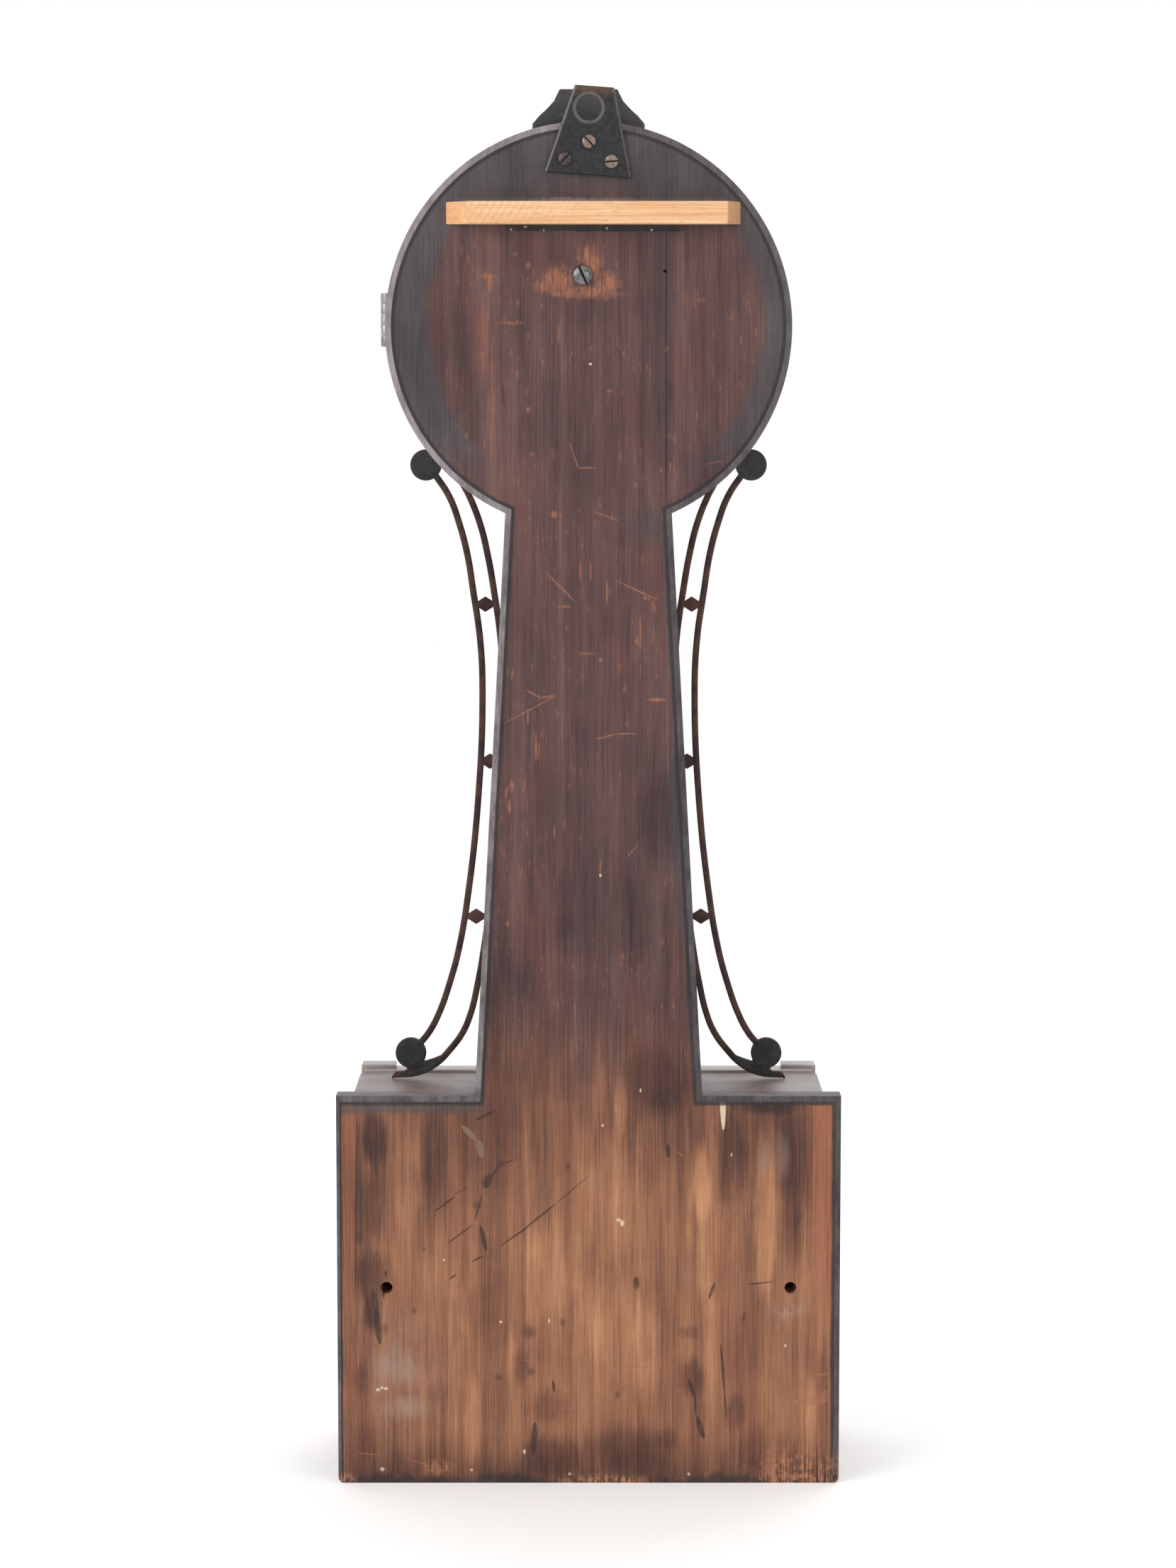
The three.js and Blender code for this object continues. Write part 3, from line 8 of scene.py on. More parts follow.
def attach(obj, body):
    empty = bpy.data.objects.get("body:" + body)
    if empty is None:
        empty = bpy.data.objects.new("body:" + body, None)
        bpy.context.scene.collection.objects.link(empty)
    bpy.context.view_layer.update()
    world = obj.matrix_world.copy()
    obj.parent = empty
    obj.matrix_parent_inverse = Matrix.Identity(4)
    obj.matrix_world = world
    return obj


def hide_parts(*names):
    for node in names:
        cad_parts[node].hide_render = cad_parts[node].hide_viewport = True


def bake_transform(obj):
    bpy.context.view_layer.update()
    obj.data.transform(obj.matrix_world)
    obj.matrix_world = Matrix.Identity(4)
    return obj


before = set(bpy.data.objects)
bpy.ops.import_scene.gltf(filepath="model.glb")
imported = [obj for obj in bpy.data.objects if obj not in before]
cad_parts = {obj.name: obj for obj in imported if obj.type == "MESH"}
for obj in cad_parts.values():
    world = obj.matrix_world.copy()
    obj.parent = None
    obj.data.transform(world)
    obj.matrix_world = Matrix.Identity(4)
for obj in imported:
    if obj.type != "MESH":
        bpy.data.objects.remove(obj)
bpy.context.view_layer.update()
scene = bpy.context.scene
scene.view_settings.view_transform = "Standard"
mm = 0.001
backY = 52.6    # the backboard's back face, in mm; depths count from it towards the front


def deep(depth):
    return (backY - depth) * mm


# Camera: behind the clock, as the photograph was taken
view = {"lens": 85, "sensor": 36, "across": 0.28, "height": 545.2, "back": 1887.4, "pitch": 5.86}
cameraData = bpy.data.cameras.new("camera")
cameraData.lens = view["lens"]
cameraData.sensor_width = view["sensor"]
camera = bpy.data.objects.new("camera", cameraData)
camera.location = Vector((view["across"], view["back"], view["height"])) * mm
camera.rotation_euler = (radians(90 - view["pitch"]), 0, pi)
scene.collection.objects.link(camera)
scene.camera = camera


# One output socket. Sums and products of signals add Math nodes.
class Signal:
    def __init__(self, tree, socket=None):
        self.tree = tree
        self.socket = socket

    def node(self, kind, settings=None, sockets=None, output=0):
        made = self.tree.nodes.new("ShaderNode" + kind)
        for name, value in (settings or {}).items():
            if name == "stops":
                ramp = made.color_ramp
                while len(ramp.elements) < len(value):
                    ramp.elements.new(0.5)
                for element, (place, color) in zip(ramp.elements, value):
                    element.position = place
                    element.color = color
            else:
                setattr(made, name, value)
        for name, value in (sockets or {}).items():
            if isinstance(value, Signal):
                self.tree.links.new(value.socket, made.inputs[name])
            else:
                made.inputs[name].default_value = value
        return Signal(self.tree, made.outputs[output])

    def part(self, name):
        return Signal(self.tree, self.socket.node.outputs[name])

    def math(self, operation, *values):
        return self.node("Math", {"operation": operation}, dict(enumerate(values)))

    def __add__(self, other):
        return self.math("ADD", self, other)

    def __radd__(self, other):
        return self.math("ADD", other, self)

    def __sub__(self, other):
        return self.math("SUBTRACT", self, other)

    def __rsub__(self, other):
        return self.math("SUBTRACT", other, self)

    def __mul__(self, other):
        return self.math("MULTIPLY", self, other)

    def __rmul__(self, other):
        return self.math("MULTIPLY", other, self)

    def __abs__(self):
        return self.math("ABSOLUTE", self)

    def most(self, other):
        return self.math("MAXIMUM", self, other)

    def least(self, other):
        return self.math("MINIMUM", self, other)

    def sine(self):
        return self.math("SINE", self)

    # 0 below low, 1 above high, eased between
    def rise(self, low, high, start=0.0, end=1.0):
        settings = {"interpolation_type": "SMOOTHSTEP"}
        sockets = {"Value": self, "From Min": low, "From Max": high, "To Min": start, "To Max": end}
        return self.node("MapRange", settings, sockets)

    # self is the share of top over base; a colour of three numbers is sRGB from 0 to 255
    def over(self, base, top):
        base, top = (shade if isinstance(shade, Signal) or len(shade) == 4 else tint(*shade)
                     for shade in (base, top))
        return self.node("Mix", {"data_type": "RGBA"}, {0: self, 6: base, 7: top}, output=2)

    def vector(self, operation, other, output=0):
        return self.node("VectorMath", {"operation": operation}, {0: self, 1: other}, output)

    def length(self):
        return self.vector("LENGTH", (0, 0, 0), "Value")

    def noise(self, stretch, detail=3.0, roughness=0.55, distortion=0.0):
        sockets = {"Vector": self.vector("MULTIPLY", stretch), "Scale": 1.0, "Detail": detail,
                   "Roughness": roughness, "Distortion": distortion}
        return self.node("TexNoise", None, sockets)


# An sRGB colour as the shader wants it
def tint(red, green, blue):
    return [((part / 255 + 0.055) / 1.055) ** 2.4 if part > 10 else part / 255 / 12.92
            for part in (red, green, blue)] + [1]


finishes, slots = {}, {}


# Mixes a finish and keeps it with the material slot of the part that it fills. paint takes
# the point in mm and its x, y, z, and returns what goes into the shader's sockets.
def finishOf(name, slot, paint, bumpHeight=0.2, **fixed):
    made = bpy.data.materials.new(name)
    made.use_nodes = True
    tree = made.node_tree
    shader = tree.nodes["Principled BSDF"]
    for socket, value in fixed.items():
        shader.inputs[socket.replace("_", " ")].default_value = value
    point = Signal(tree).node("TexCoord", output=3).vector("MULTIPLY", (1000, 1000, 1000))
    apart = point.node("SeparateXYZ", None, {0: point})
    varying = paint(point, apart.part("X"), apart.part("Y"), apart.part("Z"))
    if "Bump" in varying:
        bump = point.node("Bump", None, {"Height": varying.pop("Bump"), "Strength": 1.0,
                                         "Distance": bumpHeight * mm})
        varying["Normal"] = bump
    for socket, signal in varying.items():
        tree.links.new(signal.socket, shader.inputs[socket])
    finishes[name], slots[name] = made, slot


# How far a point is from a place across X and Z, in mm or in shares of a spot's half sizes
def fromMiddle(point, across, height, halfWide=1, halfTall=1):
    away = point.vector("SUBTRACT", (across, 0, height))
    return away.vector("MULTIPLY", (1 / halfWide, 0, 1 / halfTall)).length()


def spot(point, across, height, halfWide, halfTall, soft=0.35):
    return fromMiddle(point, across, height, halfWide, halfTall).rise(1 - soft, 1 + soft, 1, 0)


# Distance from each of many spots (x, z, half width, half height), each reached from the one before
def fromSpots(point, rows):
    lastX, lastZ, lastWide, lastTall = 0, 0, 1, 1
    for x, z, wide, tall in rows:
        step = {0: point, 1: (lastWide / wide, 0, lastTall / tall),
                2: ((lastX - x) / wide, 0, (lastZ - z) / tall)}
        point = point.node("VectorMath", {"operation": "MULTIPLY_ADD"}, step)
        lastX, lastZ, lastWide, lastTall = x, z, wide, tall
        yield point.length()


# The same for strokes (x1, z1, x2, z2, width): narrow ellipses round their two ends
def fromStrokes(point, rows):
    flat = point.vector("MULTIPLY", (1, 0, 1))
    for x1, z1, x2, z2, wide in rows:
        apart = hypot(x2 - x1, z2 - z1)
        spare = hypot(apart, wide) - apart
        both = flat.vector("DISTANCE", (x1, 0, z1), "Value")
        both = both + flat.vector("DISTANCE", (x2, 0, z2), "Value")
        yield both.math("MULTIPLY_ADD", both, 1 / spare, -apart / spare)


# 1 on the spots or strokes of a table, torn along their edges by a signal
def marked(point, rows, soft=0.4, torn=0):
    away = 9
    for near in (fromSpots if len(rows[0]) == 4 else fromStrokes)(point, rows):
        away = near.least(away)
    return (away + torn).rise(1 - soft, 1 + soft, 1, 0)


print("camera and shader helpers ready")


# Stage: a pale floor, soft lamps and a world that is white to the camera, to gloss and to glass
stageSet = {"floorSize": 8, "floorColor": (0.98, 0.98, 0.98, 1), "floorFade": (0.7, 1.9), "floorGlow": 0.12,
            "worldLight": 0.78}
floorMesh = bpy.data.meshes.new("floor")
ground = bmesh.new()
bmesh.ops.create_grid(ground, x_segments=1, y_segments=1, size=stageSet["floorSize"] / 2)
ground.to_mesh(floorMesh)
ground.free()
floor = bpy.data.objects.new("floor", floorMesh)
scene.collection.objects.link(floor)


# The floor fades into the white sky a good way off, so no horizon shows
def floorPaint():
    made = bpy.data.materials.new("paleFloor")
    made.use_nodes = True
    shader = made.node_tree.nodes["Principled BSDF"]
    shader.inputs["Base Color"].default_value = stageSet["floorColor"]
    shader.inputs["Roughness"].default_value = 0.9
    shader.inputs["Specular IOR Level"].default_value = 0.1
    shader.inputs["Emission Color"].default_value = (1, 1, 1, 1)
    shader.inputs["Emission Strength"].default_value = stageSet["floorGlow"]
    away = Signal(made.node_tree).node("TexCoord", output=3).length()
    made.node_tree.links.new(away.rise(*stageSet["floorFade"], 1, 0).socket, shader.inputs["Alpha"])
    return made


floorMesh.materials.append(floorPaint())

world = bpy.data.worlds.new("studio")
scene.world = world
world.use_nodes = True
sky = Signal(world.node_tree)
path = sky.node("LightPath")
seen = path.most(path.part("Is Glossy Ray")).most(path.part("Is Transmission Ray"))
level = seen * (1 - stageSet["worldLight"]) + stageSet["worldLight"]
background = world.node_tree.nodes["Background"]
background.inputs["Color"].default_value = (1, 1, 1, 1)
world.node_tree.links.new(level.socket, background.inputs["Strength"])

lamps = {
    "keyBehind": {"place": (2.1, 1.9, 1.5), "size": 1.8, "power": 31},
    "fillBehind": {"place": (-1.7, 1.9, 1.2), "size": 2.0, "power": 11},
    "keyFront": {"place": (-1.3, -2.2, 1.9), "size": 2.0, "power": 21},
    "fillFront": {"place": (1.7, -1.8, 1.2), "size": 2.0, "power": 10},
}
for lampName, lamp in lamps.items():
    lampData = bpy.data.lights.new(lampName, "AREA")
    lampData.energy = lamp["power"]
    lampData.size = lamp["size"]
    lampObject = bpy.data.objects.new(lampName, lampData)
    lampObject.location = lamp["place"]
    aim = Vector((0, 0, 0.35)) - lampObject.location
    lampObject.rotation_euler = aim.to_track_quat("-Z", "Y").to_euler()
    scene.collection.objects.link(lampObject)
print("stage lit")


# Back of the backboard: stained head and neck, bare golden base, black along the edges
board = {"baseHalf": 127, "baseTop": 199.2, "neckFootHalf": 57.2, "neckTopHalf": 41.2,
         "headRadius": 100.2, "headHeight": 582.8, "thick": 13, "ease": 2.6, "corner": 3,
         "wallHole": (102, 101, 3), "nailHole": (-37.5, 610, 0.9), "movementHole": (2.9, 608.3, 2.6)}
headMiddle = (0, board["headHeight"])
neckTop = board["headHeight"] - sqrt(board["headRadius"] ** 2 - board["neckTopHalf"] ** 2)
neckSlope = (board["neckFootHalf"] - board["neckTopHalf"]) / (neckTop - board["baseTop"])


def neckHalfAt(height):
    return board["neckFootHalf"] - (height - board["baseTop"]) * neckSlope


def fibres(point):
    fine = point.noise((1.5, 0.4, 0.02), 5, 0.72)
    broad = point.noise((0.14, 0.1, 0.0045), 4, 0.6, 0.4)
    return fine, broad


# Lighter (+) and darker (-) places down the grain: x, z, half width, half height, strength
patches = [
    (108, 178, 7, 14, -0.3), (92, 157, 7.4, 34, 0.18), (78, 165, 6.5, 27, -0.16), (109, 107, 9, 13, -0.24),
    (110, 144, 7.4, 20, -0.12), (20, 111, 16, 27, 0.16), (36, 148, 6.5, 29, 0.08), (71, 107, 11, 14, 0.06),
    (-5, 202, 3.3, 21, 0.16), (-16, 196, 3.3, 16, 0.2), (-35, 207, 19, 18, -0.24),
    (-56.5, 154, 5.3, 19, 0.3), (-56.6, 111, 5, 18, 0.16), (-72, 169, 9, 27, -0.24),
    (-89.4, 136, 6.5, 46, 0.26), (-104, 165, 8, 33, -0.2), (-91, 195, 19, 5, -0.26),
    (-102, 128, 6.5, 15, -0.14), (-41, 148, 5, 37, 0.1), (-12, 148, 12, 41, 0.12), (109, 88, 4, 11, -0.34),
    (109, 23, 7.4, 11, -0.12), (62, 88, 3.4, 19, 0.14), (58.5, 33, 5, 24, 0.16), (72, 86, 5, 20, 0.1),
    (34.6, 60, 4, 9, -0.16), (21, 40, 10, 9, -0.18), (18, 15, 15, 10, -0.2), (38.7, 65, 2.5, 16, 0.14),
    (115, 53, 4, 9, -0.14), (76, 48, 5, 6.5, -0.1), (-11, 86, 13, 27, 0.16), (-29, 69, 9, 24, 0.15),
    (-51, 78, 6.5, 3.7, -0.14), (-52, 55, 6.5, 10, -0.2), (-62, 69, 3.7, 41, 0.14),
    (-74, 37, 5.7, 10, -0.18), (-113, 36, 2.6, 24, 0.2), (-119, 40, 3.3, 31, -0.16),
    (-19, 19, 19, 12, -0.2), (-82, 19, 9, 11, -0.14), (-40, 23, 5, 5, -0.12), (52, 575, 5, 42, 0.15),
    (40, 530, 10, 40, 0.08), (15, 585, 4, 14, 0.1), (36, 295, 5, 34, 0.12), (15, 262, 9, 18, 0.1),
    (-34, 340, 12, 26, -0.16), (27, 455, 6, 30, 0.06),
]
rubs = [  # places rubbed to bare wood: x, z, half width, half height
    (15, 606, 9, 7), (-1, 614, 6, 9), (-9, 604, 6, 6), (20, 603, 6, 4), (3, 600, 16, 3), (12, 599, 7, 1.6),
    (48.5, 605, 2, 4), (49.6, 607.6, 4.4, 1.6), (37.8, 585, 4.6, 1), (36, 618.6, 1.2, 1.2),
    (29.7, 613, 1, 1.6), (29.8, 542.5, 1, 1.4), (27.8, 520.5, 1, 1), (-10.4, 551.5, 1.2, 1.2),
    (17.3, 490.8, 1.6, 1.6), (-28.7, 449.5, 1.6, 1.4), (-33.4, 399, 4.6, 0.9), (-5.9, 418.9, 1.2, 0.9),
    (38.2, 356.6, 1, 3), (39.7, 345.2, 1, 3), (0.3, 422, 3.8, 0.8),
]
faintRubs = [
    (-13, 599, 6, 1.4), (52, 577, 2.6, 20), (48, 545, 2.4, 22), (-55, 596, 2.6, 1), (79.9, 50, 8, 8),
    (85, 86, 4.6, 3.4), (18, 520, 1.6, 3),
]
strokes = [  # light scratches: x1, z1, x2, z2, width
    (9.6, 526.5, 5, 513.6, 0.8), (5.4, 513.8, -4.1, 513.9, 0.9), (-55.9, 515.3, -66.7, 517.4, 0.6),
    (-2.7, 492.2, -15, 487.7, 0.9), (14.8, 585.5, 14.8, 574.1, 1.1), (21.5, 462.5, 7.1, 448.1, 1.2),
    (15.6, 445.3, 9.2, 445.3, 1.2), (4, 467.7, 4, 457.2, 1), (-0.9, 467.7, -0.9, 457.2, 1),
    (-9, 458.6, -9, 446.3, 0.9), (-12.5, 458.6, -35.4, 448.1, 0.9), (-25.6, 440.3, -25.6, 423.4, 0.8),
    (30.8, 403.7, 24, 400, 1.2), (24.5, 400, 16.3, 400.9, 1.2), (41.7, 387.4, 17, 400.5, 0.7),
    (-3.4, 379.3, -14, 381.9, 0.9), (-13.5, 381.9, -23.5, 382.1, 0.9), (30.1, 394.5, 30.1, 386.7, 0.9),
    (26.2, 382.1, 26.2, 368.3, 1), (17.1, 336.7, 17.1, 329.9, 1.1), (-5.9, 318.9, -5.9, 311.4, 1),
    (-25, 326.7, -19, 320, 0.6), (34.1, 63.5, 25.5, 63.3, 0.6), (27.1, 60.1, 18.5, 59, 0.9),
    (18.9, 58.9, 10.2, 58, 0.6), (10.7, 50, 3.6, 49.8, 0.9), (14, 38.6, 0.8, 38.6, 0.6),
    (15.2, 34.8, 20.6, 21.7, 0.8), (117.2, 15.6, 105.7, 14.4, 0.8), (92.5, 12.4, 79.3, 8.8, 0.8),
    (0.1, 56.8, -27.5, 55.8, 0.7), (-14.7, 60.1, -34.5, 60.1, 0.8), (-8.1, 70.2, -23, 70.2, 0.5),
    (-40.3, 48.1, -48.6, 48.3, 0.7), (-90.7, 38.9, -107.1, 40.7, 1.1), (-115.3, 55.9, -122.7, 57, 1.2),
    (-117.8, 46.7, -122.8, 47.5, 1.8), (-44.5, 170.9, -48.2, 168, 0.8), (-20, 153, -25.3, 155.8, 0.8),
    (102.3, 34, 101.5, 28.9, 0.8), (-4.6, 190, -4.7, 156.8, 0.7), (7, 250, 6, 218, 0.6),
]
darkStrokes = [
    (42.1, 165.1, 37.6, 166.8, 1), (44.2, 164.7, 50.8, 155.9, 1.3), (49.8, 158.6, 51.9, 152.8, 4.4),
    (53.7, 148.4, 57.4, 135.9, 1), (71.4, 123.8, 58.2, 133.4, 0.9), (54.5, 133, 51.7, 120, 2.4),
    (45.1, 122.1, 29.5, 133, 1), (34, 130, 16.3, 144.3, 1.2), (16.3, 144.3, 0.1, 158.4, 0.6),
    (77.9, 140.1, 67.2, 148, 1), (68, 148.9, 60.6, 152.6, 0.6), (58.7, 114.6, 53.8, 117.1, 1.1),
    (70.2, 105.4, 66.9, 107.9, 1.1), (57.2, 186.7, 46.6, 192.1, 1.4), (103.6, 99.9, 103.6, 96.2, 1.4),
    (102.4, 110, 102.4, 106.6, 1.2), (116.5, 196, 118, 92.6, 0.9), (-24, 106.4, -24.2, 100.2, 3),
    (-60.8, 95.3, -63.6, 103.3, 1.6), (-79.7, 102.7, -93.6, 104.1, 0.8), (-39.9, 174.3, -40.2, 168, 2.6),
    (-66.9, 71.9, -68.8, 48.3, 1.5), (-68.5, 53.4, -70.1, 32.3, 0.8), (-50.6, 54, -53.9, 44.1, 2),
    (-53.9, 45, -54.4, 34.8, 1.2), (-54.8, 34.8, -58.5, 23, 3), (-78.9, 88.3, -78.3, 83.7, 1.2),
    (107.5, 90, 105.6, 72, 3.6), (18.1, 53.4, 17.3, 46.7, 1.6), (27.2, 31.5, 28, 14.6, 3),
    (42.4, 556, 41.8, 544, 0.9),
]
darkSpots = [  # x, z, half width, half height
    (44.2, 164.7, 2, 2), (56.1, 143.4, 2.3, 1.8), (82.9, 120.9, 0.8, 0.8), (10.2, 163.4, 1.2, 1.5),
    (116.1, 126.7, 1.6, 2.9), (30, 78.2, 3.4, 3.1), (29.2, 57.6, 1.6, 2), (88, 89.1, 1.1, 1.6),
    (96.5, 5.7, 0.7, 1), (45.3, 54.7, 1.8, 1.5), (-14.7, 45.8, 1.3, 1.8), (13.1, 83.3, 1.3, 2),
    (-56.4, 1.4, 0.4, 1.3), (-40.1, 551.5, 1.3, 4), (-0.6, 565.7, 0.9, 0.9), (-37.5, 610, 0.8, 0.8),
    (102.8, 80, 1.4, 3),
]
specks = [
    (106.7, 48.3, 1, 0.7), (104.7, 49.4, 0.7, 0.7), (102.6, 49, 1, 0.7), (32.6, 16.2, 0.6, 1.1),
    (59.4, 6.7, 0.7, 0.7), (104.7, 7.1, 1, 1), (9.6, 4.6, 0.7, 0.7), (-50.9, 4.6, 0.7, 0.7),
    (-15.1, 135.9, 1, 0.8), (-16.9, 134.3, 1, 1.5), (-26.1, 202.1, 0.4, 1), (-7.1, 184.2, 0.6, 0.6),
    (44.4, 83.4, 0.7, 0.6), (19.9, 84.1, 0.4, 1), (-99.6, 71.1, 0.4, 0.8), (73.1, 115.2, 0.5, 0.5),
    (-72, 169.3, 0.3, 0.8), (-86.5, 196.7, 0.5, 1.2), (-5.9, 311, 0.5, 0.8), (-0.9, 564.8, 0.7, 0.6),
    (38, 630.4, 0.5, 0.5), (31, 631.7, 0.8, 0.4), (22, 630, 0.4, 0.4), (-9, 631, 0.5, 0.5),
    (-31, 630.2, 0.4, 0.6),
]


def boardPaint(point, x, y, z):
    fine, broad = fibres(point)
    hair = point.noise((3.4, 0.6, 0.05), 3, 0.7)
    cloud = point.noise((0.035, 0.03, 0.02), 5, 0.62)
    ragged = point.noise((0.3, 0.2, 0.03), 5, 0.72)
    blotch = point.noise((0.12, 0.12, 0.05), 5, 0.75)
    crumb = point.noise((0.4, 0.2, 0.35), 5, 0.76)
    tone = fine * 0.64 + broad * 0.5 + cloud * 0.36 + hair * 0.2 - 0.35
    torn = ragged * 1.6 - 0.8
    for near, patch in zip(fromSpots(point, [patch[:4] for patch in patches]), patches):
        tone = tone + (near + torn).rise(0.4, 1.35, patch[4] * 0.72, 0)

    stain = {"stops": ((0.3, tint(50, 33, 34)), (0.45, tint(78, 54, 54)), (0.6, tint(99, 71, 68)),
                       (0.8, tint(130, 95, 84)))}
    stained = tone.node("ValToRGB", stain, {0: tone - z.rise(240, 330, 0.06, 0)})
    bare = {"stops": ((0.16, tint(54, 34, 31)), (0.36, tint(104, 67, 51)), (0.54, tint(146, 99, 72)),
                      (0.72, tint(182, 130, 93)), (0.9, tint(204, 156, 116)))}
    low = tone - z.rise(3, 30, 0.14, 0) - (z + abs(x) * 0.5).rise(150, 215) * 0.13
    golden = tone.node("ValToRGB", bare, {0: low})
    upper = (z + (broad - 0.5) * 120 + (ragged - 0.5) * 60).rise(186, 250)
    color = upper.over(golden, stained)
    reddish = point.noise((0.05, 0.04, 0.01), 3, 0.6).rise(0.5, 0.68) * 0.26
    color = reddish.over(color, (112, 62, 52))

    # reddish strips that the glued sides leave along both edges of the base
    strips = (x - 116.5 - (180 - z) * 0.016).rise(0, 0.7) * z.rise(88, 130, 0.25, 1)
    strips = strips + (-112.4 - x).rise(0, 0.7) * z.rise(60, 120, 0.25, 1)
    strips = strips * (196 - z).rise(0, 1) * ragged.rise(0.25, 0.55) * fine.rise(0.36, 0.6, 0.35, 0.8)
    color = (strips * x.rise(-60, 60, 0.85, 0.55)).over(color, (164, 100, 72))

    # glue joint down the head
    joint = abs(x + 38.3).rise(0.2, 0.7, 1, 0) * (z - 486).rise(0, 30)
    shade = (abs(x + 37) - 5).rise(-2, 3, 1, 0) * (z - 500).rise(0, 20)
    color = (shade * 0.35).over(color, (56, 46, 48))
    color = (joint * 0.75).over(color, (34, 28, 30))

    # worn spots and scratches through the stain
    thin = point.noise((0.5, 0.3, 0.12), 4, 0.7).rise(0.58, 0.68)
    worn = thin * cloud.rise(0.42, 0.56) * (z - 200).rise(0, 60) * 0.6
    patchy = point.noise((0.42, 0.2, 0.2), 4, 0.72).rise(0.3, 0.52)
    shred = (fine - 0.5) * 3.4 + (crumb - 0.5) * 1.6 + 0.08
    worn = worn.most(marked(point, rubs, 0.4, shred) * patchy * 0.95)
    worn = worn.most(marked(point, faintRubs, 0.7, shred) * patchy * 0.4)
    worn = worn.most(marked(point, strokes, 0.6) * crumb.rise(0.3, 0.5, 0.3, 0.75))
    toothed = marked(point, [(-101, 40.5, -134, 46.6, 4.6)]) * (x * 4.2).sine().rise(-1, 0.6, 0.45, 0.9)
    worn = worn.most(toothed * crumb.rise(0.3, 0.45, 0.4, 1))
    worn = worn * (hair * 0.6 + fine * 0.4).rise(0.36, 0.56, 0.3, 1)
    color = worn.over(color, hair.rise(0.4, 0.6).over((134, 84, 66), (166, 110, 82)))
    fibrous = fine.rise(0.58, 0.72) * abs(z - 228).rise(20, 60, 1, 0) * 0.4
    color = fibrous.over(color, (150, 96, 68))

    # dark scratches, knots and stains
    dark = marked(point, darkStrokes, 0.6, (crumb - 0.5) * 2.4) * crumb.rise(0.3, 0.52, 0.3, 1)
    dark = dark.most(marked(point, darkSpots, 0.6) * 0.6)
    color = (dark * 0.8).over(color, (44, 32, 33))

    # a near-black line along the underside of the batten, across its middle
    underBatten = (abs(z - 631.1 - x * 0.006) + (blotch - 0.5) * 1.6).rise(1.1, 1.9, 1, 0)
    color = (underBatten * abs(x + 3.4).rise(40, 46, 1, 0) * 0.95).over(color, (24, 21, 23))
    lint = (abs(z - 644.9) + (crumb - 0.5) * 4).rise(0.3, 1.3, 1, 0) * abs(x + 2).rise(66, 70, 1, 0) * 0.7
    color = lint.over(color, (150, 142, 140))

    # bloom and specks of old paint, a scuff under one hole and two drips
    pale = spot(point, 97, 60, 8, 8, 0.9) * 0.34 + spot(point, 92, 39, 10, 4.4, 0.9) * 0.3
    pale = pale + spot(point, 97, 56, 16, 26, 0.9) * blotch.rise(0.42, 0.62) * 0.2
    pale = pale + spot(point, -101.5, 90, 7, 5, 0.9) * crumb.rise(0.4, 0.6) * 0.42
    pale = pale + spot(point, -98, 168, 3, 9, 0.9) * 0.2 + spot(point, -88.4, 167, 3, 8, 0.9) * 0.2
    color = pale.over(color, (168, 150, 138))
    dots = marked(point, specks, 0.5).most(marked(point, [(-67, 215, -67.8, 182, 3)], 0.2))
    drip = marked(point, [(63.5, 184, 56.4, 176.6, 2.8), (55.2, 176.4, 53.9, 168.2, 3.4)], 0.2)
    color = (drip * 0.85).over(color, (122, 100, 84))
    color = dots.over(color, (206, 188, 158))

    # grey-black overspray on the head, down the neck's edge and along the top of the base
    toHead = board["headRadius"] - fromMiddle(point, *headMiddle)
    toNeck = (neckHalfAt(0) - z * neckSlope - abs(x)).least(560 - z).least(z - board["baseTop"] + 18)
    toBase = (board["baseHalf"] - abs(x)) * x.rise(-60, 60, 1.05, 1.8)
    toBase = toBase.least(board["baseTop"] - z).least(z + 6)
    inside = toHead.most(toNeck).most(toBase)
    uneven = (blotch - 0.5) * 9
    ring = fromMiddle(point, -3, 585, 84, 88) + uneven * 0.012
    spray = ring.rise(0.95, 1.02) * (z - 506).rise(0, 26)
    spray = spray.most((z + uneven).rise(624, 640) * (1 - spot(point, 2, 646, 22, 9, 0.5) * 0.5))
    veils = spot(point, -34, 486, 13, 9, 0.6) * 0.6 + spot(point, -47, 345, 8, 34, 0.7) * 0.7
    beside = (toNeck + uneven * 0.7 + x.rise(-20, 20, 0, 9)).rise(3, 9, 0.6, 0)
    veils = veils + beside * z.rise(230, 270) * z.rise(470, 500, 1, 0)
    shelf = (board["baseTop"] - 9 - z - uneven * 0.4).rise(-2, 1.5, 1, 0) * (x + uneven).rise(48, 60)
    shelf = shelf * (board["baseTop"] - z + 4).rise(0, 1) * 0.8
    dim = (fine * 0.5 + hair * 0.3 + cloud * 0.4 - 0.1).rise(0.3, 0.72)
    veil = spray.most(veils).most(shelf) * 0.84
    color = veil.over(color, dim.over((48, 46, 49), (88, 84, 86)))
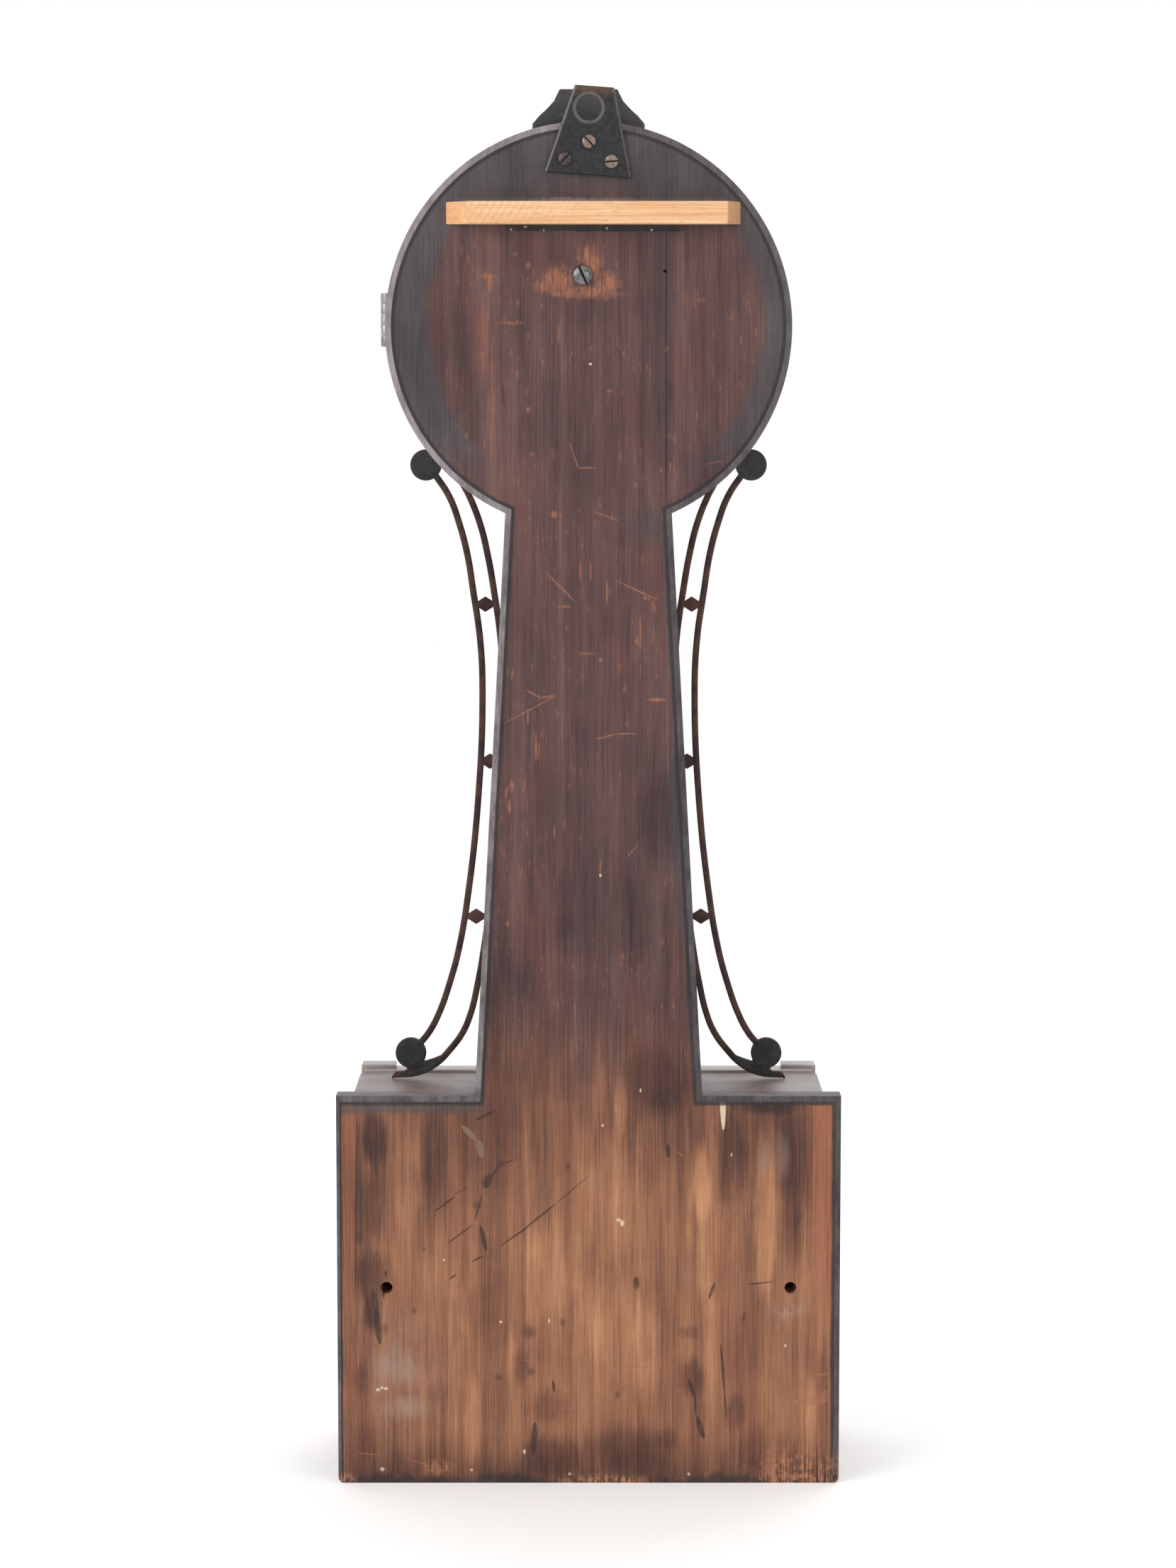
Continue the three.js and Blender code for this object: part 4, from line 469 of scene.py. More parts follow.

    # burnt-looking foot, a black line inside every edge and the worn bead outside it; the bead's grey is
    # painted sheen, with painted light on its +X side and painted shade on the base
    foot = z + uneven * 1.5 + (x * 0.11).sine() * 1.6
    burnt = foot.rise(1, 7, 0.9, 0).most(foot.rise(4, 18, 0.26, 0))
    line = (inside + uneven * 0.22).rise(4, 5.4, 1, 0)
    color = (line.most(burnt) * 0.92).over(color, dim.over((26, 25, 28), (54, 50, 52)))
    bead = inside.rise(2.6, 3.2, 1, 0) * z.rise(3, 9)
    # painted sheen on the bead, stronger on the head; painted light toward +X, painted shade below the top of
    # the base
    paintedSheen = (hair * 0.4 + blotch * 0.7).rise(0.35, 0.75) + z.rise(460, 540, -0.12, 0.26)
    lit = x.rise(-30, 30) * z.rise(200, 207, 0.3, 1)
    shaded = paintedSheen.over((48, 43, 45), (100, 92, 94))
    color = (bead * 0.9).over(color, lit.over(shaded, paintedSheen.over((92, 84, 86), (158, 148, 150))))
    scuff = crumb.rise(0.6, 0.7) * inside.rise(0.8, 4, 1, 0)
    color = (scuff * 0.5).over(color, (130, 106, 98))
    raw = spot(point, -106, 4, 20, 13, 0.6) + spot(point, -8, 0, 22, 4, 0.5)
    raw = raw + spot(point, 77, 8, 8, 4, 0.5) * 0.7 + spot(point, 124, 1, 5, 4, 0.5)
    raw = raw * (fine * 0.6 + ragged * 0.4 + (crumb - 0.5) * 0.5).rise(0.44, 0.56)
    color = (raw * 0.8).over(color, (186, 128, 92))

    rough = 0.56 + (fine - 0.5) * 0.25 - bead * 0.14
    return {"Base Color": color, "Roughness": rough,
            "Bump": fine * 0.5 + hair * 0.3 - joint * 0.8}


finishOf("stainedBoard", "case_board", boardPaint, 0.25, Specular_IOR_Level=0.3)
print("board finish mixed")


# Turns a bmesh into a finished piece of the clock
def piece(name, made, body, finish, nodes=(), sharp=35, turnOut=True):
    if turnOut:
        bmesh.ops.recalc_face_normals(made, faces=made.faces)
    mesh = bpy.data.meshes.new(name)
    made.to_mesh(mesh)
    made.free()
    mesh.materials.append(finishes[finish])
    mesh.shade_smooth()
    mesh.set_sharp_from_angle(angle=radians(sharp))
    item = bpy.data.objects.new(name, mesh)
    scene.collection.objects.link(item)
    if body:
        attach(item, body)
    if nodes:
        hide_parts(*nodes)
    return item


def bevelled(made, edges, width, segments=2):
    bmesh.ops.bevel(made, geom=edges, offset=width * mm, offset_type="OFFSET", segments=segments,
                    profile=0.5, affect="EDGES", clamp_overlap=True, material=-1)


def hardEdges(made, angle):
    return [edge for edge in made.edges
            if len(edge.link_faces) == 2 and edge.calc_face_angle(0) > radians(angle)]


def softenEdges(made, width, segments=2, angle=28):
    bevelled(made, hardEdges(made, angle), width, segments)


# A copy of a CAD node with its triangles merged and its edges eased
def eased(node, body, finish, width=0.4):
    made = bmesh.new()
    made.from_mesh(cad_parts[node].data)
    bmesh.ops.remove_doubles(made, verts=made.verts, dist=0.002 * mm)
    bmesh.ops.dissolve_limit(made, angle_limit=radians(0.5), verts=made.verts, edges=made.edges)
    softenEdges(made, width)
    piece(node + "_eased", made, body, finish, [node], turnOut=False)


# A turned profile of (radius, depth) round an axis that runs from back to front
def spun(made, profile, across, height, steps=96, sweep=2 * pi, start=0.0):
    rows = [made.verts.new(((across + radius * cos(start)) * mm, deep(depth),
                            (height + radius * sin(start)) * mm)) for radius, depth in profile]
    edges = [made.edges.new(pair) for pair in zip(rows, rows[1:])]
    bmesh.ops.spin(made, geom=rows + edges, cent=(across * mm, 0, height * mm), axis=(0, -1, 0),
                   dvec=(0, 0, 0), angle=sweep, steps=steps, use_merge=sweep >= 2 * pi)
    bmesh.ops.remove_doubles(made, verts=made.verts, dist=0.005 * mm)


def arcOf(across, height, radius, start, end, steps):
    return [(across + radius * cos(start + (end - start) * step / steps),
             height + radius * sin(start + (end - start) * step / steps)) for step in range(steps + 1)]


# Faces drawn out along a vector, with the first ones kept as the other side
def drawnOut(made, faces, along):
    grown = bmesh.ops.extrude_face_region(made, geom=faces, use_keep_orig=True)
    moved = [item for item in grown["geom"] if isinstance(item, bmesh.types.BMVert)]
    bmesh.ops.translate(made, vec=along, verts=moved)


def added(made, layer):
    mesh = bpy.data.meshes.new("layer")
    layer.to_mesh(mesh)
    layer.free()
    made.from_mesh(mesh)
    bpy.data.meshes.remove(mesh)


# A flat outline with holes, filled and pushed from one depth towards the front
def sawn(made, outline, holes, depth, thick):
    edges = []
    for ring in [outline, *holes]:
        corners = [made.verts.new((x * mm, deep(depth), z * mm)) for x, z in ring]
        edges += [made.edges.new(pair) for pair in zip(corners, corners[1:] + corners[:1])]
    filled = bmesh.ops.triangle_fill(made, use_beauty=True, use_dissolve=False, edges=edges)
    faces = [item for item in filled["geom"] if isinstance(item, bmesh.types.BMFace)]
    drawnOut(made, faces, (0, -thick * mm, 0))
    bmesh.ops.recalc_face_normals(made, faces=made.faces)


def ringAt(across, height, radius, steps=32):
    return arcOf(across, height, radius, 0, 2 * pi, steps)[:-1]


# Backboard
def buildBoard():
    half, top, corner = board["baseHalf"], board["baseTop"], board["corner"]
    turn = acos(board["neckTopHalf"] / board["headRadius"])
    outline = [*arcOf(half - corner, corner, corner, -pi / 2, 0, 6), (half, top),
               (board["neckFootHalf"], top), *arcOf(*headMiddle, board["headRadius"], -turn, pi + turn, 180),
               (-board["neckFootHalf"], top), (-half, top),
               *arcOf(corner - half, corner, corner, pi, 1.5 * pi, 6)]
    across, height, radius = board["wallHole"]
    holes = [ringAt(across, height, radius), ringAt(-across, height, radius),
             ringAt(*board["nailHole"], 12), ringAt(*board["movementHole"], 20)]
    holes += [ringAt(x, z, hanger["screwHole"], 16) for x, z in hangerScrewPlaces]
    made = bmesh.new()
    sawn(made, outline, holes, 0, board["thick"])
    rims = [edge for edge in hardEdges(made, 60)
            if abs(edge.verts[0].co.y - edge.verts[1].co.y) < 1e-6 and not nearHole(edge, holes)]
    bevelled(made, rims, board["ease"], 5)
    piece("board", made, "case", "stainedBoard", ["backboard"], 40)


def nearHole(edge, holes):
    middle = (edge.verts[0].co + edge.verts[1].co) / 2
    return any(hypot(middle.x - sum(x for x, z in ring) / len(ring) * mm,
                     middle.z - sum(z for x, z in ring) / len(ring) * mm) < 4 * mm for ring in holes)


# Hanger plate and the screws
hanger = {"across": 0.25, "height": 656.95, "tilt": radians(4.2), "topHalf": 9.6, "footHalf": 21.3,
          "tall": 42.8, "thick": 2.2, "hole": (2, 32.2, 6.3), "screwHole": 1.8}
hangerScrew = {"head": 3.4, "dome": 1.5, "shank": 1.6, "length": 10}
screws = {    # "at" is across and up on the hanger plate, "turn" the slot's lean in degrees
    "hanger_screw_top": {**hangerScrew, "at": (0.72, 15.94), "turn": -46, "finish": "brightScrew"},
    "hanger_screw_right": {**hangerScrew, "at": (11.88, 6.8), "turn": 45, "finish": "darkScrew"},
    "hanger_screw_left": {**hangerScrew, "at": (-10.96, 7.07), "turn": 4, "finish": "brightScrew"},
    "movement_screw": {"at": None, "head": 4.9, "dome": 2.6, "shank": 2.4, "length": 15.7, "turn": -65,
                       "finish": "greyScrew"},
}


def onHanger(across, up):
    tilt = hanger["tilt"]
    return (hanger["across"] + across * cos(tilt) - up * sin(tilt),
            hanger["height"] + across * sin(tilt) + up * cos(tilt))


hangerScrewPlaces = [onHanger(*screw["at"]) for screw in screws.values() if screw["at"]]


def buildHanger():
    corners = [(-hanger["footHalf"], 0), (hanger["footHalf"], 0), (hanger["topHalf"], hanger["tall"]),
               (-hanger["topHalf"], hanger["tall"])]
    across, up, radius = hanger["hole"]
    holes = [ringAt(*onHanger(across, up), radius, 40)]
    holes += [ringAt(x, z, hanger["screwHole"], 16) for x, z in hangerScrewPlaces]
    made = bmesh.new()
    sawn(made, [onHanger(*corner) for corner in corners], holes, -hanger["thick"], hanger["thick"])
    softenEdges(made, 0.35, 2, 50)
    piece("hangerPlate", made, "case", "blackenedIron", ["hanger_plate"])


def buildScrew(name, screw):
    seat = -hanger["thick"] if screw["at"] else 0
    across, height = onHanger(*screw["at"]) if screw["at"] else board["movementHole"][:2]
    head, dome = screw["head"], screw["dome"]
    low = seat + dome * 2 / 3 - dome
    profile = [(head * sin(step * pi / 16), low - dome * 2 / 3 * cos(step * pi / 16)) for step in range(9)]
    profile += [(head, seat), (screw["shank"], seat), (screw["shank"], seat + screw["length"]),
                (0, seat + screw["length"])]
    made = bmesh.new()
    spun(made, profile, across, height, 40)
    turn = radians(screw["turn"])
    side = Vector((sin(turn), 0, cos(turn)))
    middle = Vector((across * mm, 0, height * mm))
    slotHalf, rise = head / 8, deep(seat - dome * 0.02)

    def overSlot(face, margin=0):
        centre = face.calc_center_median()
        return abs((centre - middle).dot(side)) < (slotHalf + margin) * mm and centre.y > rise

    for sign in (-1, 1):
        bmesh.ops.bisect_plane(made, geom=made.verts[:] + made.edges[:] + made.faces[:], dist=1e-7,
                               plane_co=middle + side * sign * slotHalf * mm, plane_no=side)
    slotFaces = [face for face in made.faces if overSlot(face)]
    slotEdges = list(dict.fromkeys(edge for face in slotFaces for edge in face.edges))
    grown = bmesh.ops.extrude_face_region(made, geom=slotFaces + slotEdges)
    for item in grown["geom"]:
        if isinstance(item, bmesh.types.BMVert):
            item.co.y = min(item.co.y, deep(seat - dome / 2))
    for face in made.faces:
        sunk = face.calc_center_median().y < deep(seat - dome * 0.9) + 0.4 * mm
        face.material_index = 1 if sunk and overSlot(face, 0.01) else 0
    item = piece(name + "_turned", made, "case", screw["finish"], [name], 30)
    item.data.materials.append(finishes["slotGrime"])
print("shape helpers ready")


# Finishes of the other pieces
def battenPaint(point, x, y, z):
    fine = point.noise((0.02, 0.9, 1.6), 4, 0.65)
    broad = point.noise((0.012, 0.2, 0.35), 3, 0.6)
    color = (fine * 0.5 + broad * 0.5).rise(0.36, 0.62).over((241, 200, 156), (219, 163, 114))
    flecks = point.noise((0.25, 0.8, 1.3), 2, 0.5).rise(0.61, 0.68) * 0.45
    color = flecks.over(color, (192, 132, 86))
    sawLines = (x * 1.7 + z * 1.1 + fine * 4).sine().rise(0.2, 1) * (x + 10).rise(0, 60) * 0.34
    color = sawLines.over(color, (206, 146, 100))
    color = ((-67.6 - x).rise(0, 0.6) * 0.85).over(color, (186, 136, 98))
    color = ((x - 60.6 + (z - 638) * 0.3).rise(0, 0.8) * 0.5).over(color, (230, 166, 112))
    grime = point.noise((0.12, 0.3, 0.4), 4, 0.7).rise(0.6, 0.75) * 0.3
    color = grime.over(color, (170, 122, 84))
    return {"Base Color": color, "Roughness": 0.62 + fine * 0.2, "Bump": fine + sawLines}


# Iron worn pale along both slanting edges and round the hole, brown along the top
def ironPaint(point, x, y, z):
    pits = point.noise((0.5, 0.5, 0.5), 5, 0.7)
    scratched = point.noise((1.6, 0.6, 0.12), 3, 0.7).rise(0.6, 0.7)
    across = point.vector("DOT_PRODUCT", (0.9973, 0, 0.0732), "Value") - 48.34
    up = point.vector("DOT_PRODUCT", (-0.0732, 0, 0.9973), "Value") - 655.16
    flank = 21.3 - up * 0.2734 - abs(across)
    color = pits.rise(0.35, 0.65).over((24, 25, 29), (46, 46, 50))
    color = (scratched * 0.2).over(color, (84, 78, 76))
    rubbed = (up + (pits - 0.5) * 8).rise(37, 41.6) * 0.75
    color = (rubbed * scratched.rise(0, 1, 0.6, 1)).over(color, (118, 84, 62))
    worn = flank.rise(0.5, 1.5, 1, 0) * across.rise(-10, 14, 0.35, 0.85)
    ring = abs(fromMiddle(point, -0.12, 689.2) - 7).rise(0.4, 1.1, 1, 0) * 0.5
    worn = worn.most(ring) * pits.rise(0.3, 0.5, 0.3, 1)
    color = worn.over(color, (122, 116, 114))
    return {"Base Color": color, "Roughness": 0.42 + pits * 0.3, "Metallic": 0.35 + scratched * 0.3,
            "Bump": pits}


def screwPaint(light, dark):
    def paint(point, x, y, z):
        brushed = point.noise((2.2, 0.5, 0.3), 3, 0.7)
        stained = point.noise((0.45, 0.45, 0.45), 3, 0.7).rise(0.5, 0.68)
        color = brushed.rise(0.35, 0.65).over(light, [part * 0.72 for part in light[:3]] + [1])
        color = stained.over(color, dark)
        return {"Base Color": color, "Roughness": 0.34 + stained * 0.3, "Metallic": 0.8 - stained * 0.5,
                "Bump": brushed}
    return paint


# Grey mixed in where a surface faces up or to the back
def greyedFacing(point, color, share):
    facing = point.node("TexCoord", output=1)
    apart = facing.node("SeparateXYZ", None, {0: facing})
    up = apart.part("Z").rise(0.55, 0.95).most(apart.part("Y").rise(0.55, 0.95))
    patchy = point.noise((0.09, 0.3, 0.3), 4, 0.7).rise(0.25, 0.6, 0.85, 1)
    return (up * patchy * share).over(color, (146, 135, 130))


# Black paint worn back to wood where the piece is handled
def blackPaint(point, x, y, z):
    brushed = point.noise((0.25, 0.3, 0.9), 3, 0.6)
    rubbed = point.noise((0.12, 0.16, 0.12), 5, 0.72).rise(0.58, 0.7)
    dust = point.noise((0.05, 0.05, 0.05), 4, 0.6).rise(0.4, 0.7)
    color = dust.over((40, 37, 38), (66, 60, 60))
    color = (rubbed * 0.6).over(color, (112, 82, 66))
    return {"Base Color": color, "Roughness": 0.42 + dust * 0.2, "Bump": brushed}


def sidePaint(point, x, y, z):
    fine, broad = fibres(point)
    reddish = point.noise((0.06, 0.05, 0.02), 3, 0.6).rise(0.42, 0.62)
    color = reddish.over((112, 98, 96), (116, 76, 68))
    color = (fine.rise(0.45, 0.7) * 0.3).over(color, (70, 52, 50))
    back = (y - 33).rise(0, 5) * 0.85
    color = back.over(color, (54, 48, 49))
    worn = point.noise((0.1, 0.1, 0.04), 5, 0.75).rise(0.62, 0.72) * 0.4
    color = worn.over(color, (150, 108, 84))
    return {"Base Color": color, "Roughness": 0.38 + fine * 0.18, "Bump": fine + broad * 0.5}


# Shoulder tops: grey-brown satin with a painted reflection of each arm, a reddish patch beside it
def shoulderPaint(point, x, y, z):
    fine = point.noise((0.05, 0.9, 0.9), 3, 0.6)
    cloud = point.noise((0.05, 0.08, 0.05), 3, 0.6)
    color = cloud.rise(0.4, 0.65).over((134, 124, 122), (114, 101, 100))
    red = (abs(x) - 84).rise(-26, 26) * (cloud * 0.6 + 0.6)
    # painted reflection of the arm's disc in the glossy top: reddish, stronger towards the backboard
    near = abs(abs(x) - 84).rise(5, 19, 1, 0) * cloud.rise(0.2, 0.5) * y.rise(-20, 34, 0.6, 1)
    color = (near * 0.95).over(color, (112, 84, 80))
    color = (fine.rise(0.5, 0.75) * 0.3).over(color, (96, 80, 78))
    color = ((y - 36).rise(0, 3.5) * 0.8).over(color, (62, 54, 54))
    color = (red * 0.15).over(color, (150, 138, 134))
    return {"Base Color": color, "Roughness": 0.4 + fine * 0.2, "Bump": fine}


def mahoganyPaint(point, x, y, z):
    grain = point.noise((0.5, 0.35, 0.03), 4, 0.65, 0.4)
    figure = point.noise((0.05, 0.04, 0.012), 3, 0.6, 1.4)
    color = figure.rise(0.36, 0.62).over((70, 32, 24), (122, 60, 40))
    color = (grain.rise(0.5, 0.7) * 0.5).over(color, (46, 20, 16))
    worn = point.noise((0.12, 0.12, 0.12), 5, 0.75).rise(0.64, 0.74) * 0.4
    color = greyedFacing(point, worn.over(color, (150, 92, 62)), 1.0)
    return {"Base Color": color, "Roughness": 0.34 + grain * 0.2, "Bump": grain}


def brassPaint(bright, dull, tarnish):
    def paint(point, x, y, z):
        cloud = point.noise((0.06, 0.06, 0.06), 5, 0.7)
        fine = point.noise((1.2, 1.2, 0.25), 3, 0.6)
        spots = point.noise((0.5, 0.5, 0.5), 4, 0.75).rise(0.6, 0.72)
        color = (cloud.rise(0.38, 0.68) * tarnish).over(bright, dull)
        color = (spots * tarnish * 0.6).over(color, [part * 0.45 for part in dull[:3]] + [1])
        return {"Base Color": color, "Roughness": 0.2 + tarnish * 0.22 + cloud * 0.16,
                "Metallic": 1 - spots * tarnish * 0.5, "Bump": fine * 0.5 + spots}
    return paint


def steelPaint(point, x, y, z):
    brushed = point.noise((1.5, 1.5, 0.15), 3, 0.7)
    cloud = point.noise((0.15, 0.15, 0.15), 4, 0.7)
    color = cloud.rise(0.4, 0.65).over((164, 162, 160), (120, 116, 112))
    return {"Base Color": color, "Roughness": 0.3 + brushed * 0.2, "Metallic": 0.85 - cloud * 0.2,
            "Bump": brushed}


def bluedPaint(point, x, y, z):
    cloud = point.noise((0.12, 0.5, 0.12), 3, 0.6)
    color = cloud.rise(0.38, 0.66).over((28, 34, 66), (44, 36, 50))
    return {"Base Color": color, "Roughness": 0.24 + cloud * 0.14, "Bump": cloud}


def dialPaint(point, x, y, z):
    out = fromMiddle(point, *headMiddle)
    age = point.noise((0.04, 0.04, 0.04), 5, 0.7)
    color = age.rise(0.35, 0.7).over((240, 233, 216), (226, 212, 186))
    rim = (out - 70).rise(0, 22) * age.rise(0.3, 0.7)
    color = (rim * 0.5).over(color, (206, 186, 150))
    cells = point.node("TexVoronoi", {"feature": "DISTANCE_TO_EDGE"}, {"Vector": point, "Scale": 0.14})
    craze = cells.rise(0, 0.05, 1, 0)
    color = (craze * age.rise(0.45, 0.65) * 0.35).over(color, (170, 146, 112))
    foxed = point.noise((0.35, 0.35, 0.35), 3, 0.7).rise(0.68, 0.76) * 0.5
    color = foxed.over(color, (164, 126, 84))
    return {"Base Color": color, "Roughness": 0.36 + age * 0.2, "Bump": age - craze * 0.5}


def inkPaint(point, x, y, z):
    worn = point.noise((0.6, 0.6, 0.6), 4, 0.7)
    color = worn.rise(0.45, 0.75).over((24, 22, 24), (58, 52, 48))
    return {"Base Color": color, "Roughness": 0.4 + worn * 0.2, "Bump": worn}


def grimePaint(point, x, y, z):
    caked = point.noise((0.8, 0.8, 0.8), 3, 0.7)
    color = caked.rise(0.35, 0.65).over((22, 18, 18), (48, 38, 35))
    return {"Base Color": color, "Roughness": 0.8 + caked * 0.1}


def weightPaint(point, x, y, z):
    cast = point.noise((0.4, 0.4, 0.4), 5, 0.7)
    rust = point.noise((0.08, 0.08, 0.08), 4, 0.7).rise(0.52, 0.68)
    color = cast.rise(0.35, 0.65).over((84, 84, 86), (118, 116, 116))
    color = rust.over(color, (112, 84, 66))
    return {"Base Color": color, "Roughness": 0.55 + cast * 0.25, "Metallic": 0.6 - rust * 0.5, "Bump": cast}


def linePaint(point, x, y, z):
    twist = (z * 3.2 + x * 4).sine().rise(-0.4, 0.8)
    color = twist.over((170, 146, 108), (206, 184, 142))
    return {"Base Color": color, "Roughness": 0.75 + twist * 0.1, "Bump": twist}


finishOf("rawBatten", "raw_wood", battenPaint, 0.12)
finishOf("blackenedIron", "hanger_iron", ironPaint, 0.12)
finishOf("brightScrew", "screw_steel", screwPaint(tint(146, 126, 116), tint(80, 62, 54)), 0.06)
finishOf("darkScrew", "screw_steel", screwPaint(tint(92, 82, 80), tint(46, 38, 38)), 0.06)
finishOf("greyScrew", "screw_steel", screwPaint(tint(132, 130, 131), tint(74, 70, 70)), 0.06)
finishOf("slotGrime", "screw_steel", grimePaint)
finishOf("wornBlack", "black_wood", blackPaint, 0.15)
finishOf("caseSide", "case_wood", sidePaint, 0.2, Coat_Weight=0.15, Coat_Roughness=0.3)
finishOf("shoulderTop", "case_wood", shoulderPaint, 0.15, Coat_Weight=0.2, Coat_Roughness=0.35)
finishOf("mahogany", "frame_wood", mahoganyPaint, 0.15, Coat_Weight=0.5, Coat_Roughness=0.15)
finishOf("agedBrass", "bezel_brass", brassPaint(tint(212, 170, 96), tint(148, 108, 58), 0.5), 0.06)
finishOf("movementBrass", "movement_brass", brassPaint(tint(206, 172, 104), tint(160, 122, 66), 0.35), 0.05)
finishOf("platedSteel", "hinge_steel", steelPaint, 0.05)
finishOf("bluedSteel", "blued_steel", bluedPaint, 0.03, Metallic=0.9)
finishOf("paintedDial", "dial_paint", dialPaint, 0.05, Coat_Weight=0.15, Coat_Roughness=0.3)
finishOf("dialInk", "dial_paint", inkPaint, 0.03)
finishOf("greyIron", "weight_iron", weightPaint, 0.2)
finishOf("braidedLine", "line_cord", linePaint, 0.1)
print(len(finishes), "finishes mixed")


# Painted glass tablets: gilt bands round a dark ground, with a scrolling sprig or an oval window
def tabletPaint(ground, sprig, bandAt, windowAt):
    def paint(point, x, y, z):
        aged = point.noise((0.06, 0.06, 0.06), 5, 0.7)
        flaked = point.noise((0.22, 0.22, 0.22), 5, 0.75).rise(0.66, 0.72)
        color = aged.rise(0.35, 0.7).over(ground, [part * 0.6 for part in ground[:3]] + [1])
        edge = bandAt(point, x, z)
        gold = edge.rise(2, 2.4) * edge.rise(5.2, 5.6, 1, 0)
        line = edge.rise(7, 7.3) * edge.rise(8, 8.3, 1, 0)
        leaf = sprig(point, x, z)
        gilt = aged.rise(0.3, 0.7).over((222, 178, 92), (170, 124, 56))
        color = gold.most(line).most(leaf).over(color, gilt)
        color = edge.rise(1.6, 2.2, 1, 0).over(color, (28, 24, 24))
        color = (flaked * 0.7).over(color, (60, 52, 46))
        window = windowAt(point, x, z)
        return {"Base Color": color, "Roughness": 0.12 + aged * 0.1, "Alpha": 1 - window * 0.86,
                "Bump": aged * 0.2}
    return paint


waistTablet = {"foot": 206.5, "footHalf": 41.3, "topHalf": 27.2, "top": 470}
doorTablet = {"foot": 20.3, "top": 180.1, "half": 101.4, "ovalHalf": 44, "ovalTall": 40, "ovalAt": 112}


def waistEdge(point, x, z):
    foot, footHalf = waistTablet["foot"], waistTablet["footHalf"]
    slope = (footHalf - waistTablet["topHalf"]) / (waistTablet["top"] - foot)
    side = footHalf - (z - foot) * slope - abs(x)
    head = fromMiddle(point, *headMiddle) - 112
    return side.least(z - foot).least(head)


# A wavy stem with a leaf in each bend
def waistSprig(point, x, z):
    wave = (z * 0.105).sine() * 9
    stem = abs(x - wave).rise(0.5, 0.9, 1, 0)
    leafTurn = (z * 0.21 + 0.9).sine()
    leaf = (abs(x + wave * 0.35) + leafTurn * 6 + 1).rise(0.4, 1.6, 1, 0)
    berry = (fromMiddle(point, 0, 236).least(fromMiddle(point, 0, 448))).rise(4, 4.6, 1, 0)
    inside = waistEdge(point, x, z).rise(13, 14)
    return stem.most(leaf).most(berry) * inside


def doorEdge(point, x, z):
    return (doorTablet["half"] - abs(x)).least(z - doorTablet["foot"]).least(doorTablet["top"] - z)


def doorOval(point, x, z):
    return fromMiddle(point, 0, doorTablet["ovalAt"], doorTablet["ovalHalf"], doorTablet["ovalTall"])


def doorSprig(point, x, z):
    out = doorOval(point, x, z)
    rim = out.rise(1.04, 1.06) * out.rise(1.12, 1.14, 1, 0)
    turn = point.node("Math", {"operation": "ARCTAN2"}, {0: z - doorTablet["ovalAt"], 1: x})
    petals = (turn * 24).sine() * 0.05 + 1.24
    wreath = abs(out - petals).rise(0.015, 0.04, 1, 0)
    gilded = rim.most(wreath)
    for across, height in ((-78, 44), (78, 44), (-78, 156), (78, 156)):
        near = fromMiddle(point, across, height)
        gilded = gilded.most(near.rise(9, 9.5, 1, 0) * (near * 1.6).sine().rise(-0.1, 0.2))
    return gilded


def noWindow(point, x, z):
    return x * 0


def doorWindow(point, x, z):
    return doorOval(point, x, z).rise(0.98, 1.0, 1, 0)


finishOf("waistTablet", "tablet_glass", tabletPaint(tint(28, 52, 44), waistSprig, waistEdge, noWindow), 0.02,
         Coat_Weight=1.0, Coat_Roughness=0.03)
finishOf("doorTablet", "tablet_glass", tabletPaint(tint(226, 216, 190), doorSprig, doorEdge, doorWindow),
         0.02, Coat_Weight=1.0, Coat_Roughness=0.03)


def glassPaint(point, x, y, z):
    smear = point.noise((0.03, 0.03, 0.03), 4, 0.6)
    return {"Roughness": 0.02 + smear.rise(0.45, 0.7) * 0.08, "Alpha": 0.1 + smear.rise(0.5, 0.8) * 0.06}


finishOf("clearGlass", "clear_glass", glassPaint, 0.01, Base_Color=tint(232, 240, 238), IOR=1.5)
print("tablets painted")


# More shapes: eased blocks, round bars, and strips bent along a curve
def blocked(made, across, depths, heights, ease=0.4, segments=2):
    size = [(across[1] - across[0]) * mm, (depths[1] - depths[0]) * mm, (heights[1] - heights[0]) * mm, 1]
    middle = Vector((sum(across) / 2 * mm, deep(sum(depths) / 2), sum(heights) / 2 * mm))
    cube = bmesh.ops.create_cube(made, size=1, matrix=Matrix.Translation(middle) @ Matrix.Diagonal(size))
    edges = list(dict.fromkeys(edge for vert in cube["verts"] for edge in vert.link_edges))
    bevelled(made, edges, ease, segments)


barTurns = {"X": Matrix.Rotation(pi / 2, 4, "Y"), "Y": Matrix.Rotation(pi / 2, 4, "X"), "Z": Matrix()}


def barred(made, radius, length, middle, axis="Y", segments=48, ease=0.2):
    across, depth, height = middle
    place = Matrix.Translation((across * mm, deep(depth), height * mm))
    bar = bmesh.ops.create_cone(made, cap_ends=True, segments=segments, radius1=radius * mm,
                                radius2=radius * mm, depth=length * mm, matrix=place @ barTurns[axis])
    edges = dict.fromkeys(edge for vert in bar["verts"] for edge in vert.link_edges)
    ends = [edge for edge in edges if any(len(face.verts) > 4 for face in edge.link_faces)]
    if ease:
        bevelled(made, ends, ease)


